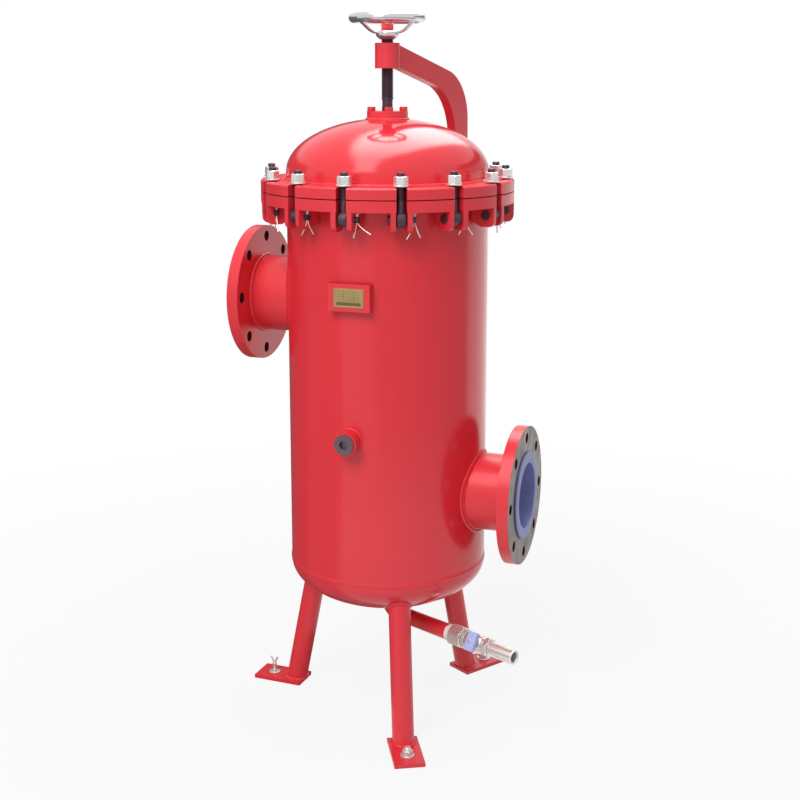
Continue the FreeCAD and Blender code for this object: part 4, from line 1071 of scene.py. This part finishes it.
def make_data_plate():
    """A blank brass data plate: a rolled border, ruled lines for entries, a dark foot and four rivets."""
    line_r, column_r, border_r, rivet_inset, foot_half = 0.00032, 0.00026, 0.00035, 0.0042, 0.0002
    corner, border_inset, border_corner, line_inset, foot_inset = 0.002, 0.0045, 0.0015, 0.014, 0.012
    lines, first_line, line_step = 5, 0.31, 0.12
    columns, column_share, column_rise = (-0.16, 0.18), 0.62, 0.13
    foot_share, foot_drop, foot_corner = 0.16, 0.31, 0.001
    edge_rows = ((0.0, 0.0010), (0.0, 0.0002), (0.0004, 0.0))
    low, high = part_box("nameplate")
    width, height = high.x - low.x, high.z - low.z
    centre = np.array([(low.x + high.x) / 2, low.y, (low.z + high.z) / 2])

    def laid(rows, depth=0.0):
        return centre + rows[:, :1] * RIGHT + depth * BACK + rows[:, 1:] * UP

    def filled(rows):
        return capped(np.stack(rows), rows[0].mean(axis=0), rows[-1].mean(axis=0))

    outline = rounded_frame(width, height, corner)
    plate = filled([laid(outline * [1 - cut / width, 1 - cut / height], depth) for cut, depth in edge_rows])
    border = laid(rounded_frame(width - border_inset, height - border_inset, border_corner))
    metal_grids = [np.concatenate([plate, plate[:, :1]], axis=1),
                   wire(border, border_r, BACK, 6, closed=True)]
    rivet = eased([(0.0013, 0.0), (0.0012, 0.0005), (0.0006, 0.0009), (0, 0.0009)], 0.0005)
    for sx in (-1, 1):
        for sz in (-1, 1):
            place = centre + sx * (width / 2 - rivet_inset) * RIGHT + sz * (height / 2 - rivet_inset) * UP
            metal_grids.append(turned(rivet, place, axes_along(-BACK, RIGHT), 16))
    s = np.linspace(-0.5, 0.5, 12)[:, None]
    dark_grids = []
    for line in range(lines):
        path = centre + s * (width - line_inset) * RIGHT + height * (first_line - line_step * line) * UP
        dark_grids.append(wire(path, line_r, BACK, 6))
    for column in columns:
        path = centre + column * width * RIGHT + (s + column_rise) * height * column_share * UP
        dark_grids.append(wire(path, column_r, RIGHT, 6))
    foot = rounded_frame(width - foot_inset, height * foot_share, foot_corner)
    foot = laid(foot - [0.0, height * foot_drop])
    foot = np.concatenate([foot, foot[:1]])
    dark_grids.append(filled([foot + foot_half * BACK, foot - foot_half * BACK]))
    make_piece("data_plate", {brass: metal_grids, plate_lacquer: dark_grids}, "root",
               ["nameplate"])


def make_foot_anchor(number, azimuth):
    """An anchor in a foot plate: a washer, a nut and the end of its stud."""
    bore_r, washer_r, washer_top = 0.0061, 0.014, 0.0105
    nut_across, nut_height, nut_twist = 0.019, 0.010, 12.0
    stud_r, stud_pitch, stud_depth, stud_foot, stud_top = 0.006, 0.00175, 0.0009, 0.0006, 0.027
    axes = around_axis(azimuth)
    place = FOOT_HOLE_R * axes[0]
    nut_foot, nut_axes = place + washer_top * UP, around_axis(azimuth + nut_twist)
    anchor = [washer(bore_r, washer_r, FOOT_TOP_Z, washer_top, 0.0006, place, axes),
              hexagon(nut_across, nut_height, bore_r, nut_foot, nut_axes),
              threaded(stud_r, stud_pitch, stud_depth, stud_foot, stud_top, place, axes, 22, tip=0.001)]
    make_piece(f"foot_anchor_{number}", {zinc: anchor}, "root")


def make_winged_screw(azimuth):
    """A loose winged screw: each wing is a wire that bends out as s^1.3 and thins as s^2."""
    bore_r, washer_r, washer_top = 0.0040, 0.0125, 0.010
    collar_r, collar_z, screw_top = 0.0050, 0.0225, 0.0300
    rod_r, rod_pitch, rod_depth, rod_foot = 0.0032, 0.00125, 0.0006, 0.0006
    wing_z, wing_reach, wing_rise, wing_r, wing_thinning = 0.028, 0.0085, 0.016, 0.0026, 0.0010
    axes = around_axis(azimuth)
    place = FOOT_HOLE_R * axes[0]
    screw = [washer(bore_r, washer_r, FOOT_TOP_Z, washer_top, 0.0005, place, axes),
             threaded(rod_r, rod_pitch, rod_depth, rod_foot, screw_top, place, axes, steps=18, tip=0.0005),
             peg(collar_r, collar_z, screw_top, 0.0012, place, axes, 24)]
    s = np.linspace(0, 1, 12)[:, None]
    for way in (-1, 1):
        path = place + (wing_z + wing_rise * s) * UP + way * wing_reach * s ** 1.3 * RIGHT
        screw.append(wire(path, wing_r - wing_thinning * s ** 2, BACK, 10))
    make_piece("foot_winged_screw", {tail_steel: screw}, "root")


# Studio


# What polish mirrors round the object: each patch is its azimuths, its heights and its tone
WALL_R = 1.9
WALL_TOP = 1.95
WALL_EDGES = (6.0, 0.16)
GROUND_Z = 0.0002
WALL_PATCHES = (
    ((-220, 240), (-1.0, 1.00), 0.46),
    ((28, 112), (-1.0, 1.00), 1.30),
    ((112, 240), (-1.0, 1.75), 0.12),
    ((-220, -125), (-1.0, 0.95), 0.30),
    ((-122, -84), (-1.0, 1.05), 0.80),
    ((-125, 100), (-1.0, 0.08), 1.00),
    ((-109, -84), (1.72, 9.0), 4.0),
    ((15, 78), (1.20, 1.60), 0.55),
    ((15, 78), (1.60, 2.30), 0.12),
)
# What polish mirrors above it: a bright strip along Y, as rows of y, its left and right edge, and its tone
SKY_Z = 3.6
SKY_HALF_WIDTH = 2.4
SKY_EDGE = 0.35
SKY_STRIP = (
    (-6.2, -1.80, 0.50, 5.0),
    (-3.6, -1.20, 0.25, 4.5),
    (-1.4, -1.00, 0.25, 5.0),
    (0.0, -1.05, 0.70, 7.8),
    (1.6, -1.05, 0.85, 7.6),
    (2.9, -0.95, 0.85, 5.5),
    (5.2, -0.90, 0.85, 3.2),
    (6.6, -0.90, 0.85, 1.0),
)
# Each softbox's place, target, width and height
OVERHEAD_BOX = ((0.2, 0.3, 3.4), (0.0, 0.0, 1.1), 2.2, 1.6)
FRONT_BOX = ((-0.76, -4.2, 4.6), (0.0, 0.0, 0.8), 2.5, 3.0)
SKY_TINT = (0.97, 0.98, 1.0, 1.0)
FLOOR_GREY = (0.62, 0.62, 0.62, 1.0)
WHITE = (1.0, 1.0, 1.0, 1.0)


def white_for_the_eye(tree):
    """1 for camera, glossy and transmission rays, so they see the pale background itself."""
    rays = node(tree, "ShaderNodeLightPath").outputs
    first = maths(tree, "MAXIMUM", rays["Is Camera Ray"], rays["Is Glossy Ray"])
    return maths(tree, "MAXIMUM", first, rays["Is Transmission Ray"])


def emptied(owner):
    """The node tree of a material or world, with nothing in it."""
    owner.use_nodes = True
    owner.node_tree.nodes.clear()
    return owner.node_tree


def show_mix(tree, amount, plain, bright, output):
    """Sends a mix of two shaders to the tree's output."""
    mix = node(tree, "ShaderNodeMixShader", Fac=amount)
    tree.links.new(plain.outputs[0], mix.inputs[1])
    tree.links.new(bright.outputs[0], mix.inputs[2])
    node(tree, output, Surface=mix.outputs["Shader"])


def make_world(level):
    """Even light of a set level, behind a white background."""
    world = bpy.data.worlds.new("studio_light")
    bpy.context.scene.world = world
    tree = emptied(world)
    light = node(tree, "ShaderNodeBackground", Color=SKY_TINT, Strength=level)
    white = node(tree, "ShaderNodeBackground", Color=WHITE, Strength=1.0)
    show_mix(tree, white_for_the_eye(tree), light, white, "ShaderNodeOutputWorld")


def make_floor(plain_share, strength):
    """A wide pale floor that shows mostly white to the eye, wholly so far off, and keeps a soft shadow."""
    half_width, drop, near, far = 9.0, -0.0004, 0.7, 2.2
    x, y = np.meshgrid(*2 * [np.linspace(-half_width, half_width, 3)])
    mesh = grid_mesh("studio_floor", [np.stack([x, y, np.full(x.shape, drop)], axis=-1)])
    floor = placed("studio_floor", mesh)
    material = bpy.data.materials.new("pale_floor")
    tree = emptied(material)
    plain = node(tree, "ShaderNodeBsdfDiffuse", Color=FLOOR_GREY)
    bright = node(tree, "ShaderNodeEmission", Color=WHITE, Strength=strength)
    reach = node(tree, "ShaderNodeVectorMath", {"operation": "LENGTH"}, Vector=place_of(tree))
    wash = ranged(tree, reach.outputs["Value"], plain_share, 1.0, near, far)
    amount = maths(tree, "MULTIPLY", white_for_the_eye(tree), wash)
    show_mix(tree, amount, plain, bright, "ShaderNodeOutputMaterial")
    mesh.materials.append(material)


def make_softbox(name, place, target, width, height, power):
    """An area lamp that faces a target; polish mirrors the reflectors and not the lamp."""
    lamp = bpy.data.lights.new(name, "AREA")
    lamp.shape = "RECTANGLE"
    lamp.size = width
    lamp.size_y = height
    lamp.energy = power
    box = placed(name, lamp)
    box.location = place
    back = unit(np.subtract(place, target))
    steep = abs(back[2]) >= 0.95
    side = unit(np.cross(BACK if steep else UP, back))
    axes = np.stack([side, np.cross(back, side), back], axis=1)
    box.rotation_mode = "QUATERNION"
    box.rotation_quaternion = Matrix(axes.tolist()).to_quaternion()
    box.visible_glossy = False


def soft_window(values, low, high, edge):
    """1 between low and high, and a straight fall to 0 across each edge."""
    return np.clip((values - low) / edge + 0.5, 0, 1) * np.clip((high - values) / edge + 0.5, 0, 1)


def make_reflector(name, grid, tone):
    """A sheet that only gloss sees, with its own glow at each point of its grid."""
    mesh = grid_mesh(name, [grid])
    glow = mesh.attributes.new("glow", "FLOAT", "POINT")
    glow.data.foreach_set("value", tone.ravel().astype(np.float32))
    material = bpy.data.materials.new(name)
    tree = emptied(material)
    level = node(tree, "ShaderNodeAttribute", {"attribute_name": "glow"})
    light = node(tree, "ShaderNodeEmission", Color=WHITE, Strength=level.outputs["Fac"])
    node(tree, "ShaderNodeOutputMaterial", Surface=light.outputs["Emission"])
    mesh.materials.append(material)
    sheet = placed(name, mesh)
    for kind in ("camera", "diffuse", "transmission", "volume_scatter", "shadow"):
        setattr(sheet, f"visible_{kind}", False)


def make_wall_reflector():
    """A ground and a round wall (r cos a, r sin a, z) whose patches are laid over white one by one."""
    ground_rows, wall_rows, columns, middle_r, wall_foot = 12, 60, 121, 0.01, 0.02
    azimuth = np.linspace(-170, 190, columns)[:, None]
    height = np.concatenate([np.full(ground_rows, GROUND_Z), np.linspace(wall_foot, WALL_TOP, wall_rows)])
    radius = np.concatenate([np.linspace(middle_r, WALL_R, ground_rows), np.full(wall_rows, WALL_R)])
    tone = np.ones((columns, ground_rows + wall_rows))
    for azimuths, heights, shade in WALL_PATCHES:
        cover = soft_window(azimuth, *azimuths, WALL_EDGES[0]) * soft_window(height, *heights, WALL_EDGES[1])
        tone = tone + (shade - tone) * cover
    make_reflector("wall_reflector", spun(radius, height, np.radians(azimuth), ON_AXIS, LEVEL), tone)


def make_sky_reflector():
    """A level sheet with a bright strip along Y that changes its width and tone on the way."""
    rows = np.array(SKY_STRIP)
    x, y = np.meshgrid(np.linspace(-SKY_HALF_WIDTH, SKY_HALF_WIDTH, 49),
                       np.linspace(rows[0, 0], rows[-1, 0], 65), indexing="ij")
    left, right, peak = (np.interp(y, rows[:, 0], rows[:, column]) for column in (1, 2, 3))
    tone = 1 + (peak - 1) * soft_window(x, left, right, SKY_EDGE)
    make_reflector("sky_reflector", np.stack([x, y, np.full(x.shape, SKY_Z)], axis=-1), tone)


def make_camera(studio):
    """The camera at the photograph's angle."""
    data = bpy.data.cameras.new("studio_camera")
    data.sensor_width = 36.0
    data.lens = studio.lens
    data.shift_y = studio.drop
    camera = placed("studio_camera", data)
    camera.location = studio.eye
    camera.rotation_euler = (math.radians(90) - studio.tilt, 0.0, studio.heading)
    bpy.context.scene.camera = camera


# Operators and panel


class FILTER_OT_studio(bpy.types.Operator):
    """Makes the floor, the lights, what polish mirrors, and the camera"""
    bl_idname = "filter.studio"
    bl_label = "Studio"

    def execute(self, context):
        studio = context.scene.filter_studio
        make_world(studio.sky)
        make_floor(studio.floor, studio.white)
        make_softbox("overhead_softbox", *OVERHEAD_BOX, studio.overhead)
        make_softbox("front_softbox", *FRONT_BOX, studio.front)
        make_wall_reflector()
        make_sky_reflector()
        make_camera(studio)
        context.scene.view_settings.view_transform = "Standard"
        return {"FINISHED"}


class FILTER_OT_finishes(bpy.types.Operator):
    """Gives every node of the frame its finish"""
    bl_idname = "filter.finishes"
    bl_label = "Finishes of the frame"

    def execute(self, context):
        for maker, names in NODE_FINISHES.items():
            for name in names:
                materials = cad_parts[name].data.materials
                materials.clear()
                materials.append(finish(maker))
        return {"FINISHED"}


class FILTER_OT_swing_bolts(bpy.types.Operator):
    """Makes the swing bolts with their washers and nuts"""
    bl_idname = "filter.swing_bolts"
    bl_label = "Swing bolts"

    def execute(self, context):
        for number in range(BOLT_COUNT):
            make_swing_bolt(number, context.scene.filter_fasteners)
        return {"FINISHED"}


class FILTER_OT_split_pins(bpy.types.Operator):
    """Makes the split pins in the hinge pins"""
    bl_idname = "filter.split_pins"
    bl_label = "Split pins"

    def execute(self, context):
        make_split_pins(context.scene.filter_fasteners)
        return {"FINISHED"}


class FILTER_OT_lid_lift(bpy.types.Operator):
    """Makes the lifting screw, the handwheel with its nut, and the hub's bolts"""
    bl_idname = "filter.lid_lift"
    bl_label = "Lid lift"

    def execute(self, context):
        make_lift_screw(context.scene.filter_fasteners)
        make_handwheel()
        make_wheel_nut()
        make_hub_bolts(context.scene.filter_fasteners)
        return {"FINISHED"}


class FILTER_OT_welds(bpy.types.Operator):
    """Makes the weld beads"""
    bl_idname = "filter.welds"
    bl_label = "Welds"

    def execute(self, context):
        make_welds(context.scene.filter_welds)
        return {"FINISHED"}


class FILTER_OT_drain(bpy.types.Operator):
    """Makes the drain valve, its spigot, its tape and its handle"""
    bl_idname = "filter.drain"
    bl_label = "Drain valve"

    def execute(self, context):
        make_valve_body()
        make_valve_stem()
        make_tail_spigot()
        make_thread_tape()
        make_valve_handle()
        return {"FINISHED"}


class FILTER_OT_outlet_cap(bpy.types.Operator):
    """Makes the outlet's moulded cap"""
    bl_idname = "filter.outlet_cap"
    bl_label = "Outlet cap"

    def execute(self, context):
        make_outlet_cap()
        return {"FINISHED"}


class FILTER_OT_data_plate(bpy.types.Operator):
    """Makes the blank data plate"""
    bl_idname = "filter.data_plate"
    bl_label = "Data plate"

    def execute(self, context):
        make_data_plate()
        return {"FINISHED"}


class FILTER_OT_feet(bpy.types.Operator):
    """Makes the anchors in two foot plates and the winged screw in the third"""
    bl_idname = "filter.feet"
    bl_label = "Foot fasteners"

    def execute(self, context):
        for number, azimuth in enumerate(LEG_AZIMUTHS[:2], 1):
            make_foot_anchor(number, azimuth)
        make_winged_screw(LEG_AZIMUTHS[2])
        return {"FINISHED"}


STEPS = (FILTER_OT_studio, FILTER_OT_finishes, FILTER_OT_swing_bolts, FILTER_OT_split_pins,
         FILTER_OT_lid_lift, FILTER_OT_welds, FILTER_OT_drain, FILTER_OT_outlet_cap, FILTER_OT_data_plate,
         FILTER_OT_feet)


class FILTER_PT_builder(bpy.types.Panel):
    """Lists the steps that dress the frame"""
    bl_label = "Return line filter"
    bl_idname = "FILTER_PT_builder"
    bl_space_type = "VIEW_3D"
    bl_region_type = "UI"
    bl_category = "Filter"

    def draw(self, context):
        for step in STEPS:
            self.layout.operator(step.bl_idname)


SETTINGS = {"filter_fasteners": FastenerSizes, "filter_welds": WeldSizes, "filter_colours": FinishColours,
            "filter_studio": StudioSettings}
CLASSES = (*SETTINGS.values(), *STEPS, FILTER_PT_builder)


def register():
    for kind in CLASSES:
        bpy.utils.register_class(kind)
    for name, kind in SETTINGS.items():
        setattr(bpy.types.Scene, name, bpy.props.PointerProperty(type=kind))


def unregister():
    for name in SETTINGS:
        delattr(bpy.types.Scene, name)
    for kind in reversed(CLASSES):
        bpy.utils.unregister_class(kind)


def main():
    register()
    bpy.ops.filter.studio()
    bpy.ops.filter.finishes()
    bpy.ops.filter.swing_bolts()
    bpy.ops.filter.split_pins()
    bpy.ops.filter.lid_lift()
    bpy.ops.filter.welds()
    bpy.ops.filter.drain()
    bpy.ops.filter.outlet_cap()
    bpy.ops.filter.data_plate()
    bpy.ops.filter.feet()


if __name__ == "__main__":
    main()
